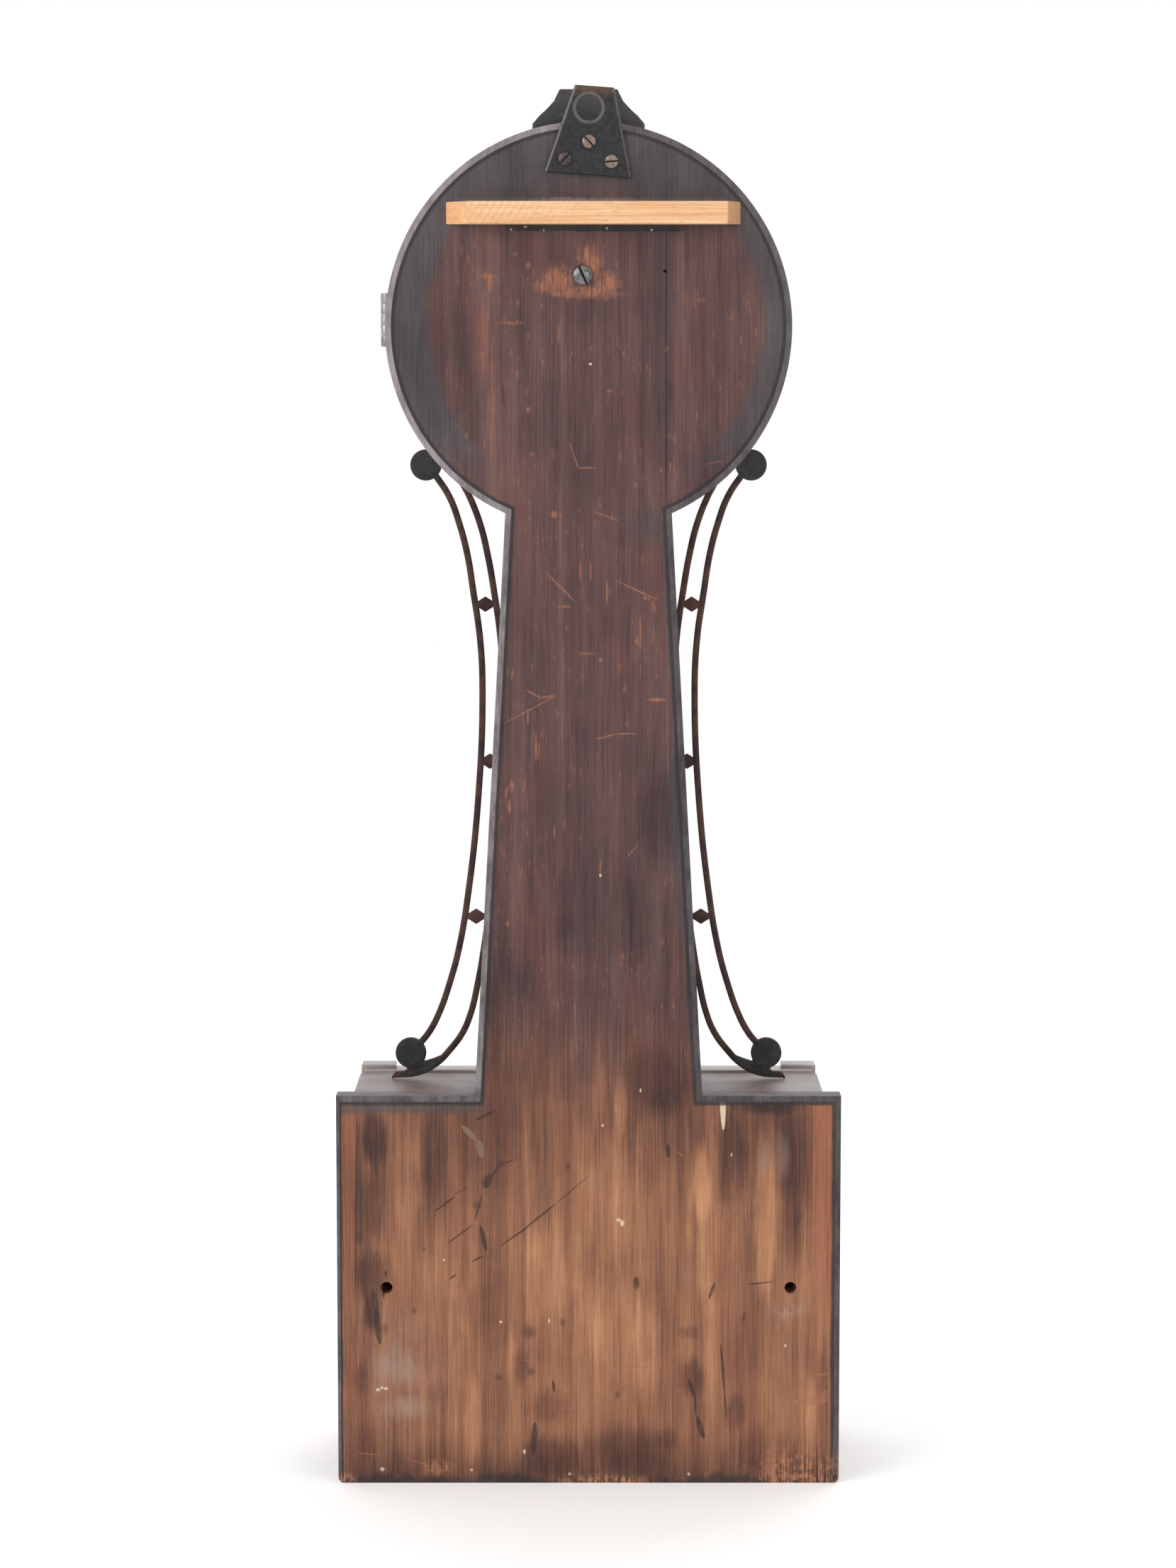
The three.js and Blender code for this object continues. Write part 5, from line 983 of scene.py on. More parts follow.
# A curve through places (x, z), drawn flat and stood upright at one depth, with a section of (x, y) corners
def bentStrip(made, places, section, depth, smooth=8):
    rib = bpy.data.curves.new("section", "CURVE")
    line = rib.splines.new("POLY")
    line.points.add(len(section) - 1)
    for point, (x, y) in zip(line.points, section):
        point.co = (x * mm, y * mm, 0, 1)
    line.use_cyclic_u = True
    ribObject = bpy.data.objects.new("section", rib)
    route = bpy.data.curves.new("route", "CURVE")
    route.dimensions = "2D"
    route.fill_mode = "NONE"
    route.resolution_u = smooth
    route.bevel_mode = "OBJECT"
    route.bevel_object = ribObject
    route.use_fill_caps = True
    bend = route.splines.new("BEZIER")
    bend.bezier_points.add(len(places) - 1)
    for point, (x, z) in zip(bend.bezier_points, places):
        point.co = (x * mm, z * mm, 0)
        point.handle_left_type = point.handle_right_type = "AUTO"
    routeObject = bpy.data.objects.new("route", route)
    scene.collection.objects.link(ribObject)
    scene.collection.objects.link(routeObject)
    bpy.context.view_layer.update()
    drawn = bpy.data.meshes.new_from_object(routeObject.evaluated_get(bpy.context.evaluated_depsgraph_get()))
    drawn.transform(Matrix.Translation((0, deep(depth), 0)) @ Matrix.Rotation(pi / 2, 4, "X"))
    made.from_mesh(drawn)
    for used in (routeObject, ribObject):
        bpy.data.objects.remove(used)
    bpy.data.curves.remove(route)
    bpy.data.curves.remove(rib)
    bpy.data.meshes.remove(drawn)
    bmesh.ops.remove_doubles(made, verts=made.verts, dist=0.001 * mm)


def roundedSection(wide, tall, corner):
    section = []
    for turn, (x, y) in enumerate(((1, 1), (-1, 1), (-1, -1), (1, -1))):
        section += arcOf(x * (wide / 2 - corner), y * (tall / 2 - corner), corner,
                         turn * pi / 2, (turn + 1) * pi / 2, 3)
    return section


# Backboard, hanger, screws and batten
buildBoard()
buildHanger()
for screwName, screw in screws.items():
    buildScrew(screwName, screw)

batten = {"left": -74.7, "right": 70, "low": 632.8, "high": 643.8, "thick": 9, "leftSlope": 6.3,
          "rightSlope": 11.6}


def buildBatten():
    made = bmesh.new()
    across, heights = (batten["left"], batten["right"]), (batten["low"], batten["high"])
    blocked(made, across, (-batten["thick"], 0), heights, 0.0001, 1)
    bmesh.ops.remove_doubles(made, verts=made.verts, dist=0.01 * mm)
    for vert in made.verts:
        if vert.co.y > deep(-batten["thick"] / 2):
            vert.co.x += (-batten["rightSlope"] if vert.co.x > 0 else batten["leftSlope"]) * mm
    softenEdges(made, 0.5, 2, 20)
    piece("sawnBatten", made, "case", "rawBatten", ["spacer_batten"], 30)


buildBatten()
print("backboard, hanger plate, screws and batten built")


# Head rim: an open arc behind, a full ring in front that the dial is seated in
rim = {"outer": 99.4, "wall": 13, "back": 13.2, "front": 66, "seat": 91.2, "seatDepth": 60, "mouthHalf": 30.5}


def buildRim():
    made = bmesh.new()
    inner, outer, seat = rim["outer"] - rim["wall"], rim["outer"], rim["seat"]
    back, front, step = rim["back"], rim["front"], rim["seatDepth"] - 2
    gap = asin(rim["mouthHalf"] / inner)
    spun(made, [(inner, back), (outer, back), (outer, step), (inner, step), (inner, back)], *headMiddle, 110,
         2 * pi - 2 * gap, gap - pi / 2)
    bmesh.ops.holes_fill(made, edges=[edge for edge in made.edges if edge.is_boundary], sides=8)
    mouth = [(inner, step), (outer, step), (outer, front - 0.8), (outer - 0.8, front), (seat + 0.4, front),
             (seat, front - 0.4), (seat, rim["seatDepth"]), (inner, rim["seatDepth"]), (inner, step)]
    spun(made, mouth, *headMiddle, 120)
    piece("headRim", made, "case", "wornBlack", ["head_rim"], 30)


plinth = {"step": 685, "tall": 17.2, "topHalf": 14.5, "footHalf": 28.2, "back": 46, "front": 72,
          "meets": 99.6, "hollow": [(0.74, 0.24), (0.5, 0.41), (0.21, 0.66), (0, 1)]}


def buildPlinth():
    spread = asin(plinth["footHalf"] / plinth["meets"])
    grow = plinth["footHalf"] - plinth["topHalf"]
    hollow = [(1, 0), *plinth["hollow"]]
    side = []
    for (outA, upA), (outB, upB) in zip(hollow, hollow[1:]):
        for step in range(4):
            share = step / 4
            side.append((plinth["topHalf"] + (outA + (outB - outA) * share) * grow,
                         plinth["step"] + (upA + (upB - upA) * share) * plinth["tall"]))
    side.append((plinth["topHalf"], plinth["step"] + plinth["tall"]))
    outline = [*arcOf(*headMiddle, plinth["meets"], pi / 2 + spread, pi / 2 - spread, 24), *side,
               *[(-x, z) for x, z in reversed(side)]]
    made = bmesh.new()
    sawn(made, outline, [], plinth["back"], plinth["front"] - plinth["back"])
    softenEdges(made, 0.5, 2, 40)
    piece("hollowPlinth", made, "case", "wornBlack", ["plinth"], 30)


buildRim()
buildPlinth()
for word in ("left", "right"):
    eased(f"base_side_{word}", "case", "caseSide", 0.8)
    eased(f"base_shoulder_{word}", "case", "shoulderTop", 0.8)
    eased(f"waist_side_{word}", "case", "caseSide", 0.5)
eased("base_bottom", "case", "caseSide", 0.5)
eased("weight_baffle", "case", "rawBatten", 0.3)
print("rim, plinth and case boards built")


# Waist frame with its painted tablet
waist = {"foot": 195.7, "overhang": 5, "rail": 11, "bed": 8, "meets": 101, "back": 64.2, "thick": 14,
         "glass": 2.2}


def waistPanel(inset, foot, topRadius):
    across = neckHalfAt(board["headHeight"] - topRadius) - waist["overhang"] - inset
    spread = asin(across / topRadius)
    footHalf = neckHalfAt(foot) - waist["overhang"] - inset
    return [(-footHalf, foot), (footHalf, foot),
            *arcOf(*headMiddle, topRadius, spread - pi / 2, -spread - pi / 2, 40)]


def waistRing(inset):
    return waistPanel(inset, waist["foot"] + inset, waist["meets"] + inset)


def buildWaist():
    made = bmesh.new()
    for inset, depth, thick in ((waist["rail"], waist["back"] + waist["thick"] / 2, waist["thick"] / 2),
                                (waist["bed"], waist["back"], waist["thick"] / 2)):
        layer = bmesh.new()
        sawn(layer, waistRing(0), [waistRing(inset)], depth, thick)
        if depth > waist["back"]:
            softenEdges(layer, 1.6, 4, 50)
        added(made, layer)
    piece("waistFrame", made, "case", "mahogany", ["waist_frame"], 30)
    made = bmesh.new()
    glassBack = waist["back"] + waist["thick"] / 2 - waist["glass"] - 0.2
    sawn(made, waistRing(waist["bed"] + 0.2), [], glassBack, waist["glass"])
    piece("waistTablet", made, "case", "waistTablet", ["waist_glass"], 30)


buildWaist()

# Side arms: two bent strips, diamond links and a disc at each end
arm = {"depth": 68, "thick": 3, "strip": 3.3, "disc": 8, "discGap": 0.5, "discAngle": -39.5,
       "rimAngle": -50.4, "lowRise": 13.9, "spread": 35.7, "tail": 2.2, "linkHalf": 4, "lowReach": 1.142,
       "tailReach": 1.343,
       "outer": [(0.948, 1), (0.9, 0.826), (0.848, 0.689), (0.79, 0.585), (0.704, 0.443), (0.618, 0.373),
                 (0.444, 0.353), (0.27, 0.431), (0.182, 0.518), (0.124, 0.622), (0.065, 0.773),
                 (0.035, 0.896)],
       "inner": [(0.948, 0.709), (0.9, 0.529), (0.848, 0.398), (0.79, 0.286), (0.704, 0.148), (0.618, 0.078),
                 (0.444, 0.059), (0.27, 0.101), (0.182, 0.157), (0.124, 0.216), (0.065, 0.308),
                 (0.035, 0.403)],
       "foot": [(1.137, 0.568), (0.583, 0.771), (0.252, 1.031)], "links": [0.766, 0.5, 0.235],
       "web": [(-17.5, -0.6), (-12, -2.8), (-7.8, -4.2), (-4, -4), (0, -4), (4, -5), (2.4, -7.6), (1.9, -8.6),
               (5.1, -10.4), (7.9, -11.8), (2.6, -12.2), (-0.7, -11.5), (-7.4, -9.4), (-10.9, -8),
               (-15.4, -5.2)],
       "tip": [(-1.79, -0.72), (1.7, -2), (2.2, -1.9), (2.3, -1.3), (0.19, 1.92)],
       "discEdge": [(0.8, 0), (0.45, 0), (0.13, 0.13), (0, 0.45)]}
shoulder = 195.5


def roundHead(radius, angle):
    return (radius * cos(radians(angle)), board["headHeight"] + radius * sin(radians(angle)))


def besideWaist(height, reach):
    return (neckHalfAt(height) - waist["overhang"] + reach * arm["spread"], height)


upperDisc = roundHead(rim["outer"] + arm["disc"] + arm["discGap"], arm["discAngle"])
lowerHeight = shoulder + arm["lowRise"]
lowerDisc = besideWaist(lowerHeight, arm["lowReach"])


# Discs gone near black, brown left on the strips and the edges
def armPaint(point, x, y, z):
    facing = point.node("TexCoord", output=1)
    flat = abs(facing.node("SeparateXYZ", None, {0: facing}).part("Y")).rise(0.75, 0.97)
    grain = point.noise((0.8, 0.8, 0.8), 4, 0.7)
    cloud = point.noise((0.12, 0.12, 0.12), 3, 0.6)
    folded = point.vector("ABSOLUTE", (0, 0, 0))
    web = (lowerDisc[0] - 6, lowerDisc[1] - 8, 12, 7)
    disc = marked(folded, [(*upperDisc, 8.6, 8.6), (*lowerDisc, 9, 9), web], 0.12)
    face = (grain * 0.5 + cloud * 0.5).rise(0.38, 0.64).over((40, 41, 41), (66, 65, 63))
    brown = cloud.rise(0.4, 0.6).over((84, 55, 47), (55, 39, 37))
    color = (flat * disc).over(brown, face)
    return {"Base Color": color, "Roughness": 0.5 + grain * 0.2, "Metallic": 0.25 + cloud * 0.2,
            "Bump": grain}


finishOf("darkArm", "arm_brass", armPaint, 0.1)


def armPlace(share, reach):
    return besideWaist(lowerHeight + share * (upperDisc[1] - lowerHeight), reach)


def reachAt(table, share):
    for (highShare, highReach), (lowShare, lowReach) in zip(table, table[1:]):
        if lowShare <= share <= highShare:
            return lowReach + (share - lowShare) / (highShare - lowShare) * (highReach - lowReach)


def buildArm(side, word):
    made = bmesh.new()
    section = roundedSection(arm["strip"], arm["thick"], 0.5)
    half = arm["disc"] / 2
    tail = besideWaist(shoulder + 0.2 + arm["tail"], arm["tailReach"])
    outer = [(upperDisc[0] - half, upperDisc[1] - half), *[armPlace(*place) for place in arm["outer"]],
             (lowerDisc[0] - half, lowerDisc[1] + half)]
    inner = [roundHead(rim["outer"] + 0.2 + arm["strip"] / 2, arm["rimAngle"]),
             *[armPlace(*place) for place in arm["inner"]],
             *[besideWaist(shoulder + rise * arm["lowRise"], reach) for rise, reach in arm["foot"]], tail]
    for places in (outer, inner):
        bentStrip(made, places, section, arm["depth"])
    low, high = arm["depth"] - arm["thick"] / 2, arm["depth"] + arm["thick"] / 2
    edge = [(arm["disc"] - inward, low + up) for inward, up in arm["discEdge"]]
    edge += [(arm["disc"] - inward, high - up) for inward, up in reversed(arm["discEdge"])]
    for place in (upperDisc, lowerDisc):
        spun(made, [(0, low), *edge, (0, high)], *place, 56)
    flats = [[(lowerDisc[0] + across, lowerDisc[1] + rise) for across, rise in arm["web"]],
             [(tail[0] + across, tail[1] + rise) for across, rise in arm["tip"]]]
    for share in arm["links"]:
        height = armPlace(share, 0)[1]
        near = armPlace(share, reachAt(arm["inner"], share))[0]
        far = armPlace(share, reachAt(arm["outer"], share))[0]
        middle, reach, bar = (near + far) / 2, arm["linkHalf"], arm["strip"] * 0.42
        upper = [(near, bar), (middle - reach, bar), (middle, reach), (middle + reach, bar), (far, bar)]
        flats.append([(across, height - rise) for across, rise in upper]
                     + [(across, height + rise) for across, rise in reversed(upper)])
    for outline in flats:
        link = bmesh.new()
        sawn(link, outline, [], low + 0.05, arm["thick"] - 0.1)
        softenEdges(link, 0.4, 2, 30)
        added(made, link)
    if side < 0:
        bmesh.ops.scale(made, vec=(-1, 1, 1), verts=made.verts)
    piece(f"bentArm_{word}", made, "case", "darkArm", [f"side_arm_{word}"], 40)


buildArm(1, "right")
buildArm(-1, "left")
print("waist frame and side arms built")


# Dial with Roman hours cut as thin strokes, and a minute ring
dial = {"radius": 91, "depth": 60.2, "thick": 1.2, "roll": 1.6, "pipe": 5.4, "winding": 4.2,
        "windingAt": (17, 553), "hoursOut": 73, "hoursTall": 17, "ringOut": 84.5, "ringIn": 80.5, "ink": 0.05}
# Each stroke: x and z at its foot, x and z at its top, width, in shares of the letter's height
letterStrokes = {
    "I": ((0, 0, 0, 1, 0.17), (-0.13, 0.02, 0.13, 0.02, 0.045), (-0.13, 0.98, 0.13, 0.98, 0.045)),
    "V": ((0, 0, -0.26, 1, 0.17), (0, 0, 0.26, 1, 0.05), (-0.38, 0.98, -0.13, 0.98, 0.045),
          (0.13, 0.98, 0.38, 0.98, 0.045)),
    "X": ((0.26, 0, -0.26, 1, 0.17), (-0.26, 0, 0.26, 1, 0.05), (-0.38, 0.02, -0.13, 0.02, 0.045),
          (0.13, 0.02, 0.38, 0.02, 0.045), (-0.38, 0.98, -0.13, 0.98, 0.045),
          (0.13, 0.98, 0.38, 0.98, 0.045)),
}
letterWide = {"I": 0.3, "V": 0.74, "X": 0.74}
hours = ["XII", "I", "II", "III", "IIII", "V", "VI", "VII", "VIII", "IX", "X", "XI"]


def inkStroke(made, start, end, wide, place):
    along = Vector((end[0] - start[0], 0, end[1] - start[1])).normalized()
    beside = Vector((along.z, 0, -along.x)) * wide / 2
    ends = ((start, 1), (end, 1), (end, -1), (start, -1))
    corners = [Vector((x, 0, z)) + beside * sign for (x, z), sign in ends]
    face = made.faces.new([made.verts.new(place @ corner) for corner in corners])
    drawnOut(made, [face], (0, -dial["ink"] * mm, 0))


def buildDial():
    made = bmesh.new()
    front = dial["depth"] + dial["thick"]
    roll = [(dial["radius"] - dial["roll"] + dial["roll"] * cos(turn * pi / 10),
             dial["depth"] + dial["roll"] * sin(turn * pi / 10)) for turn in range(6)]
    lap = dial["radius"] - 3.2
    inward = (dial["radius"] - 2.4, dial["depth"] + dial["roll"] * 0.96)
    spun(made, [(lap, dial["depth"]), *roll, inward, (lap, front)], *headMiddle, 128)
    sawn(made, ringAt(*headMiddle, lap, 128),
         [ringAt(*headMiddle, dial["pipe"], 40), ringAt(*dial["windingAt"], dial["winding"], 32)],
         dial["depth"], dial["thick"])
    piece("paintedDial", made, "case", "paintedDial", ["dial"], 30)

    made = bmesh.new()
    onFace = Matrix.Translation((0, deep(front), board["headHeight"] * mm)) @ Matrix.Scale(mm, 4)
    for hour, letters in enumerate(hours):
        turned = onFace @ Matrix.Rotation(radians(30 * hour), 4, "Y")
        wide = sum(letterWide[letter] for letter in letters)
        at = -wide / 2
        for letter in letters:
            at += letterWide[letter] / 2
            size = dial["hoursTall"]
            for footX, footZ, topX, topZ, width in letterStrokes[letter]:
                start = ((at + footX) * size * 0.82, dial["hoursOut"] - size + footZ * size)
                end = ((at + topX) * size * 0.82, dial["hoursOut"] - size + topZ * size)
                inkStroke(made, start, end, width * size, turned)
            at += letterWide[letter] / 2
    for minute in range(60):
        turned = onFace @ Matrix.Rotation(radians(6 * minute), 4, "Y")
        wide = 1.5 if minute % 5 == 0 else 0.5
        inkStroke(made, (0, dial["ringIn"]), (0, dial["ringOut"]), wide, turned)
    for radius in (dial["ringIn"], dial["ringOut"]):
        inner, outer, inked = radius - 0.2, radius + 0.2, front + dial["ink"]
        spun(made, [(inner, front), (inner, inked), (outer, inked), (outer, front)], *headMiddle, 128)
    grommet = [(0.2, 0), (0.4, 0.3), (1.2, 0.3), (1.6, 0)]
    spun(made, [(dial["winding"] + out, front + up) for out, up in grommet], *dial["windingAt"], 40)
    piece("dialFigures", made, "case", "dialInk", [], 30)


buildDial()
print("dial built")


# Bezel and its domed glass
bezel = {"outer": 99.4, "sight": 84, "back": 66.2, "thick": 13, "rebate": 2.55, "glass": 2.2, "crown": 9,
         "steps": 144}


def buildBezel():
    wide = bezel["outer"] - bezel["sight"]
    moulding = [(1, 0.02), (1, 0.3), (0.985, 0.335), (0.93, 0.42), (0.86, 0.56), (0.79, 0.7), (0.7, 0.835),
                (0.6, 0.94), (0.51, 0.995), (0.43, 1), (0.37, 0.985), (0.345, 0.93), (0.325, 0.87),
                (0.29, 0.84), (0.2, 0.79), (0.1, 0.715), (0.02, 0.63), (0, 0.6)]
    bed = bezel["back"] + bezel["thick"] / 2 + 0.2
    profile = [(bezel["sight"] + out * wide, bezel["back"] + up * bezel["thick"]) for out, up in moulding]
    rebate = bezel["sight"] + bezel["rebate"]
    profile += [(bezel["sight"], bed), (rebate, bed), (rebate, bezel["back"]),
                (bezel["outer"] - 0.3, bezel["back"]), profile[0]]
    made = bmesh.new()
    spun(made, profile, *headMiddle, bezel["steps"])
    piece("mouldedBezel", made, "bezel", "agedBrass", ["bezel"], 40)

    rimOut = bezel["sight"] + 1.85
    dome = (rimOut ** 2 + bezel["crown"] ** 2) / (2 * bezel["crown"])
    centre = bezel["back"] + bezel["thick"] / 2 - bezel["glass"] + bezel["crown"] - dome
    lean = asin(rimOut / dome)
    outer, inner = [[(radius * sin(lean * step / 16), centre + radius * cos(lean * step / 16))
                     for step in range(17)]
                    for radius in (dome + bezel["glass"] / 2, dome - bezel["glass"] / 2)]
    made = bmesh.new()
    spun(made, outer + inner[::-1], *headMiddle, 96)
    piece("domedGlass", made, "bezel", "clearGlass", ["bezel_glass"], 40)


buildBezel()

# Hinges standing upright: a pin, turned knuckles and two leaves with screws
doorHinge = {"across": 123.1, "depth": 86.2, "tall": 30, "knuckles": 3, "reach": 17.4, "face": 120.2,
             "body": "base_door", "finish": "agedBrass"}
hinges = {
    "bezel": {"across": 103.5, "depth": 75, "low": 574.5, "tall": 27, "knuckles": 5, "reach": 11.95,
              "face": 99.6, "body": "bezel", "finish": "platedSteel",
              "nodes": ("bezel_hinge_case_leaf", "bezel_hinge_leaf")},
    "doorUpper": {**doorHinge, "low": 126.9,
                  "nodes": ("door_hinge_case_leaf_upper", "door_hinge_leaf_upper")},
    "doorLower": {**doorHinge, "low": 43.3, "nodes": ("door_hinge_case_leaf_lower", "door_hinge_leaf_lower")},
}
hingeMake = {"knuckle": 2.9, "pin": 1.2, "leaf": 1.2, "runGap": 0.35, "fitGap": 0.2}


def buildHinge(name, hinge):
    root = hingeMake["knuckle"] + hingeMake["runGap"]
    across, depth, low, high = hinge["across"], hinge["depth"], hinge["low"], hinge["low"] + hinge["tall"]
    face = (hinge["face"], hinge["face"] + hingeMake["leaf"])
    step = hinge["tall"] / hinge["knuckles"]
    caseHalf, moving = bmesh.new(), bmesh.new()
    blocked(caseHalf, face, (depth - hinge["reach"], depth - root), (low, high), 0.25)
    blocked(moving, face, (depth + root, depth + hinge["reach"] / 2), (low, high), 0.25)
    for index in range(hinge["knuckles"]):
        made = moving if index % 2 else caseHalf
        foot = low + index * step + (hingeMake["fitGap"] if index else 0)
        top = low + (index + 1) * step
        barred(made, hingeMake["knuckle"], top - foot, (across, depth, (foot + top) / 2), "Z", 36, 0.3)
        neck = (depth, depth + root + 0.4) if index % 2 else (depth - root - 0.4, depth)
        blocked(made, face, neck, (foot, top), 0.15)
    for share in (0.18, 0.82):
        screwAt = (face[1] + 0.2, depth - hinge["reach"] * 0.66, low + share * hinge["tall"])
        barred(caseHalf, 1.9, 0.5, screwAt, "X", 24, 0.2)
    for end in (low + 0.1, high - 0.1):
        barred(caseHalf, hingeMake["pin"] + 0.5, 0.4, (across, depth, end), "Z", 24, 0.15)
    piece(name + "HingeCase", caseHalf, "case", hinge["finish"], [hinge["nodes"][0]], 30)
    piece(name + "HingeLeaf", moving, hinge["body"], hinge["finish"], [hinge["nodes"][1]], 30)


for hingeName, hinge in hinges.items():
    buildHinge(hingeName, hinge)
print("bezel, glass and hinges built")


# Base door: half-round rails on a flat back frame, a painted tablet, turned corner blocks and a latch knob
door = {"back": 86.2, "thick": 18, "flat": 4.5, "round": 5, "frameHalf": 117.8, "sightHalf": 100.8,
        "rail": 17, "frameFoot": 3.3, "frameTop": 196.9, "blockFoot": 1.5, "blockTop": 198.7,
        "doorHalf": 119.6, "block": 18, "rebate": 4, "glass": 2.2, "proud": 2.5}
latch = {"at": (-108, 105), "shank": 2.5, "knob": 7, "tongue": 81, "back": 104.4, "long": 9.8, "reach": 9,
         "shares": [(0.6, 0), (0.6, 0.18), (0.55, 0.24), (0.42, 0.38), (0.46, 0.46), (0.8, 0.55),
                    (0.95, 0.63), (1, 0.72), (0.95, 0.82), (0.8, 0.9), (0.5, 0.965), (0.2, 0.995), (0, 1)]}


def railSection(wide):
    tall = door["thick"] - door["flat"]
    crown = [(wide / 2 * cos(turn * pi / 20), door["round"] * sin(turn * pi / 20)) for turn in range(21)]
    return [(-wide / 2, -(tall - door["round"])), *[(-x, y) for x, y in crown],
            (wide / 2, -(tall - door["round"]))]


def buildRail(made, wide, start, end, middle, standing):
    front = door["back"] + door["thick"] - door["round"]
    ring = []
    for x, y in railSection(wide):
        across, depth = middle * mm + x * mm, deep(front + y)
        ring.append((across, depth, start * mm) if standing else (start * mm, depth, across))
    face = made.faces.new([made.verts.new(place) for place in ring])
    reach = (end - start) * mm
    drawnOut(made, [face], (0, 0, reach) if standing else (reach, 0, 0))


def panel(half, low, high):
    return [(-half, low), (half, low), (half, high), (-half, high)]


def buildDoor():
    made = bmesh.new()
    half, sight = door["frameHalf"], door["sightHalf"]
    low, high = door["frameFoot"], door["frameTop"]
    opening = panel(sight, low + door["rail"], high - door["rail"])
    sawn(made, panel(half, low, high), [opening, ringAt(*latch["at"], 2.7, 24)], door["back"], door["flat"])
    softenEdges(made, 0.4, 2, 50)
    first, last = door["blockFoot"] + door["block"] + 0.2, door["blockTop"] - door["block"] - 0.2
    for side in (-1, 1):
        buildRail(made, door["rail"], first, last, side * (half + sight) / 2, True)
    reach = door["doorHalf"] - door["block"] - 0.2
    for middle in (low + door["rail"] / 2, high - door["rail"] / 2):
        buildRail(made, door["rail"], -reach, reach, middle, False)
    piece("doorFrame", made, "base_door", "mahogany", ["door_frame"], 40)

    made = bmesh.new()
    grow = door["rebate"] - 0.2
    front = door["back"] + door["flat"] - 0.4
    blocked(made, (-sight - grow, sight + grow), (front - door["glass"], front),
            (low + door["rail"] - grow, high - door["rail"] + grow), 0.3)
    piece("doorTablet", made, "base_door", "doorTablet", ["door_glass"], 30)

    face = door["back"] + door["thick"]
    boss = [(0.92, 0.5), (0.86, 0.82), (0.8, 1), (0.72, 0.82), (0.64, 0.4), (0.52, 0.36), (0.4, 0.5),
            (0.3, 0.78), (0.14, 0.96), (0, 1)]
    for level, foot in (("upper", door["blockTop"] - door["block"]), ("lower", door["blockFoot"])):
        for word, side in (("left", -1), ("right", 1)):
            half = door["block"] / 2
            centre = side * (door["doorHalf"] - half)
            made = bmesh.new()
            blocked(made, (centre - half, centre + half), (door["back"] + door["flat"] + 0.2, face),
                    (foot, foot + door["block"]), 0.5)
            turned = [(out * half, face + up * door["proud"]) for out, up in boss]
            spun(made, [(0, face - 1.2), (8.28, face - 1.2), *turned], centre, foot + half, 48)
            piece(f"turnedBlock_{level}_{word}", made, "base_door", "mahogany",
                  [f"door_block_{level}_{word}"], 40)


def buildLatch():
    made = bmesh.new()
    across, height = latch["at"]
    shank, tongue = latch["shank"], latch["tongue"]
    knob = [(out * latch["knob"], latch["back"] + up * latch["long"]) for out, up in latch["shares"]]
    spun(made, [(0, tongue), (shank, tongue), (shank, latch["back"]), *knob], across, height, 48)
    blocked(made, (across - shank, across + shank), (tongue, tongue + shank / 1.5),
            (height - shank, height + latch["reach"]), 0.3)
    piece("latchKnob", made, "latch", "agedBrass", ["door_latch"], 35)


buildDoor()
buildLatch()
print("door built")


# Hands: a boss, a tapering stem and a pierced leaf
hands = {
    "hour": {"long": 52, "depth": 62.6, "turn": 55.5, "boss": 6, "bore": 3.4, "wide": 4.4,
             "body": "hour_wheel"},
    "minute": {"long": 76, "depth": 64.6, "turn": -54, "boss": 4.6, "bore": 2.6, "wide": 3.6,
               "body": "minute_arbor"},
}
handHalf = [(0.45, 0), (0.38, 0.3), (0.3, 0.56), (0.45, 0.575), (0.82, 0.6), (1, 0.625), (0.95, 0.65),
            (0.75, 0.685), (0.55, 0.72), (0.3, 0.84), (0.1, 0.96)]
handThick = 0.8


def buildHand(name, hand):
    made = bmesh.new()
    half = [(out * hand["wide"], along * hand["long"]) for out, along in handHalf]
    outline = [*half, (0, hand["long"]), *[(-x, z) for x, z in reversed(half)]]
    hole = ringAt(0, 0.63 * hand["long"], 0.42 * hand["wide"], 24)
    stand = Matrix.Translation((0, 0, board["headHeight"] * mm))
    sawn(made, outline, [hole], hand["depth"], handThick)
    softenEdges(made, 0.15, 2, 50)
    made.transform(stand @ Matrix.Rotation(-radians(hand["turn"]), 4, "Y"))
    bore, boss, low, high = hand["bore"], hand["boss"], hand["depth"], hand["depth"] + handThick
    spun(made, [(bore, low), (boss - 0.2, low), (boss, low + 0.2), (boss, high - 0.2), (boss - 0.2, high),
                (bore, high), (bore, low)], *headMiddle, 48)
    piece(name + "Hand", made, hand["body"], "bluedSteel", [name + "_hand"], 35)


for handName, hand in hands.items():
    buildHand(handName, hand)
print("hands built")


# Pendulum bob, rod and rating nut
bob = {"height": 116, "radius": 34, "middle": 55.6, "thick": 18, "edge": 1.6, "nut": 6, "nutTall": 5,
       "nutTop": 81.8}


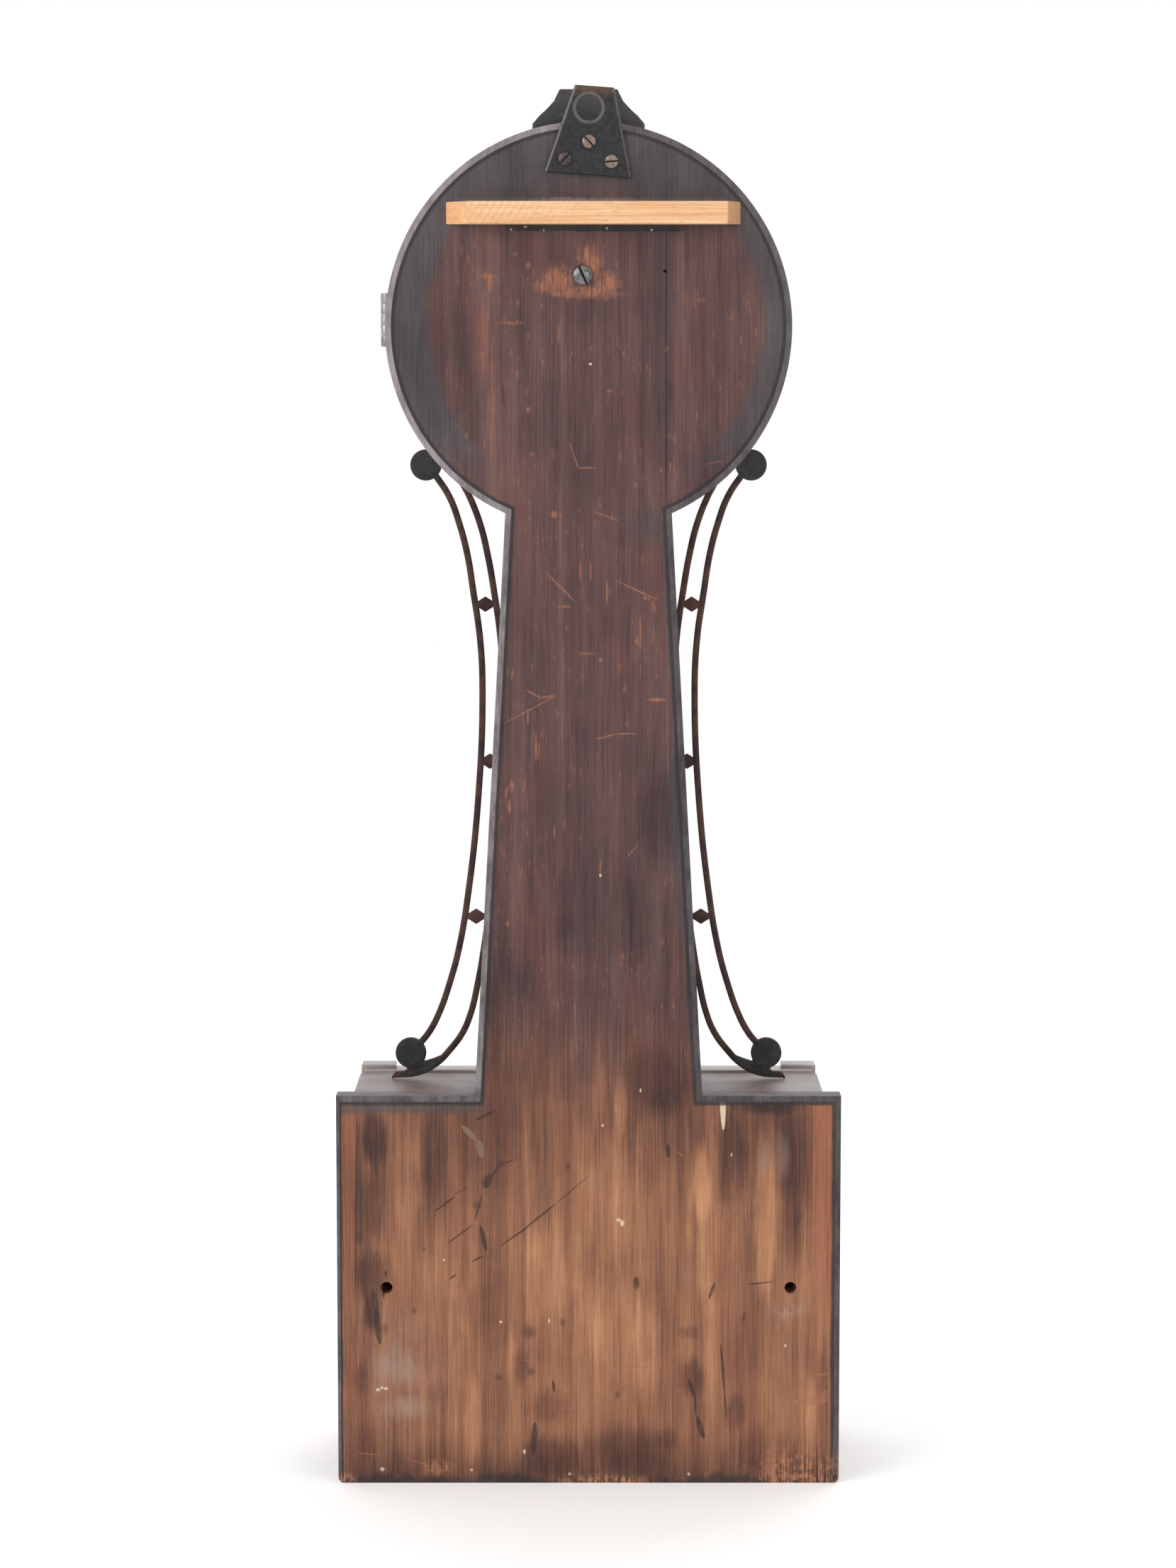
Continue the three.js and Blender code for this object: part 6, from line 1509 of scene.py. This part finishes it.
def buildBob():
    lens = [(0, 1), (0.12, 0.992), (0.24, 0.965), (0.35, 0.925), (0.5, 0.835), (0.65, 0.71), (0.77, 0.56),
            (0.88, 0.375), (0.95, 0.22), (1, bob["edge"] / bob["thick"])]
    back = [(out * bob["radius"], bob["middle"] - up * bob["thick"] / 2) for out, up in lens]
    front = [(out * bob["radius"], bob["middle"] + up * bob["thick"] / 2) for out, up in reversed(lens)]
    made = bmesh.new()
    spun(made, back + front, 0, bob["height"], 96)
    piece("lensBob", made, "bob", "agedBrass", ["pendulum_bob"], 40)

    made = bmesh.new()
    nutMiddle = (0, bob["middle"], bob["nutTop"] - bob["nutTall"] / 2)
    barred(made, bob["nut"], bob["nutTall"], nutMiddle, "Z", 48, 0)
    ribs = [face for face in made.faces if len(face.verts) == 4]
    bmesh.ops.inset_individual(made, faces=ribs, thickness=0.12 * mm, depth=-0.25 * mm)
    piece("knurledNut", made, "rating_nut", "agedBrass", ["rating_nut"], 25)


buildBob()
eased("pendulum_rod", "pendulum", "movementBrass", 0.15)
eased("suspension_bridge", "case", "movementBrass", 0.25)

# Weight with its stirrup, the pulley and the line
weight = {"half": 22, "depths": (18, 40), "top": 503, "tall": 118, "stirrupHalf": 2.5, "wall": 1.2,
          "gap": 4.7, "pulley": 520, "pulleyRadius": 9, "flange": 1.4, "depth": 29, "line": 9.8, "thick": 0.6,
          "barrel": 553, "stretch": (0.5525, 0.531)}


def buildWeight():
    made = bmesh.new()
    low = weight["top"] - weight["tall"]
    blocked(made, (-weight["half"], weight["half"]), weight["depths"], (low, weight["top"]), 2.4, 4)
    gapHalf = weight["gap"] / 2
    for depth in (weight["depth"] - gapHalf - weight["wall"], weight["depth"] + gapHalf):
        blocked(made, (-weight["stirrupHalf"], weight["stirrupHalf"]), (depth, depth + weight["wall"]),
                (weight["top"] - 2, weight["pulley"] + weight["stirrupHalf"]), 0.3)
    axle = (0, weight["depth"], weight["pulley"])
    barred(made, 1.5, weight["gap"] + 2 * weight["wall"], axle, "Y", 32, 0.1)
    piece("castWeight", made, "weight", "greyIron", ["weight"], 35)

    half, radius, flange = 2, weight["pulleyRadius"], weight["flange"]
    back, front, outer, bore = weight["depth"] - half, weight["depth"] + half, radius + flange, 1.7
    groove = [(radius + flange * abs(cos(turn)) ** 3, weight["depth"] - (half - 0.3) * cos(turn))
              for turn in (pi * step / 12 for step in range(13))]
    made = bmesh.new()
    spun(made, [(bore, back), (outer, back), *groove, (outer, front), (bore, front), (bore, back)],
         0, weight["pulley"], 64)
    piece("groovedPulley", made, "pulley", "movementBrass", ["weight_pulley"], 30)


def buildLine():
    reach, low, high = weight["line"], weight["pulley"], weight["barrel"]
    side = [(reach, high), (reach, (high + low) / 2 + 8), (reach, (high + low) / 2 - 4)]
    places = [*side, *arcOf(0, low, reach, 0, -pi, 12), *[(-x, z) for x, z in reversed(side)]]
    made = bmesh.new()
    bentStrip(made, places, ringAt(0, 0, weight["thick"], 12), weight["depth"], smooth=6)
    line = piece("braidedLine", made, None, "braidedLine", ["weight_line"], 60)
    deep(weight["depth"])
    deep(weight["depth"])
    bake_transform(line)


buildWeight()
buildLine()
print("pendulum, weight and line built")

# The train keeps its own solids
trainFinishes = {"movementBrass": ["movement_back_plate", "movement_front_plate", "great_wheel", "barrel",
                                   "centre_wheel", "third_wheel", "escape_wheel", "cannon_pinion",
                                   "minute_wheel", "hour_wheel"],
                 "platedSteel": ["pallets"]}
for finishName, nodes in trainFinishes.items():
    for node in nodes:
        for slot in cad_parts[node].material_slots:
            slot.material = finishes[finishName]
print("train finished")
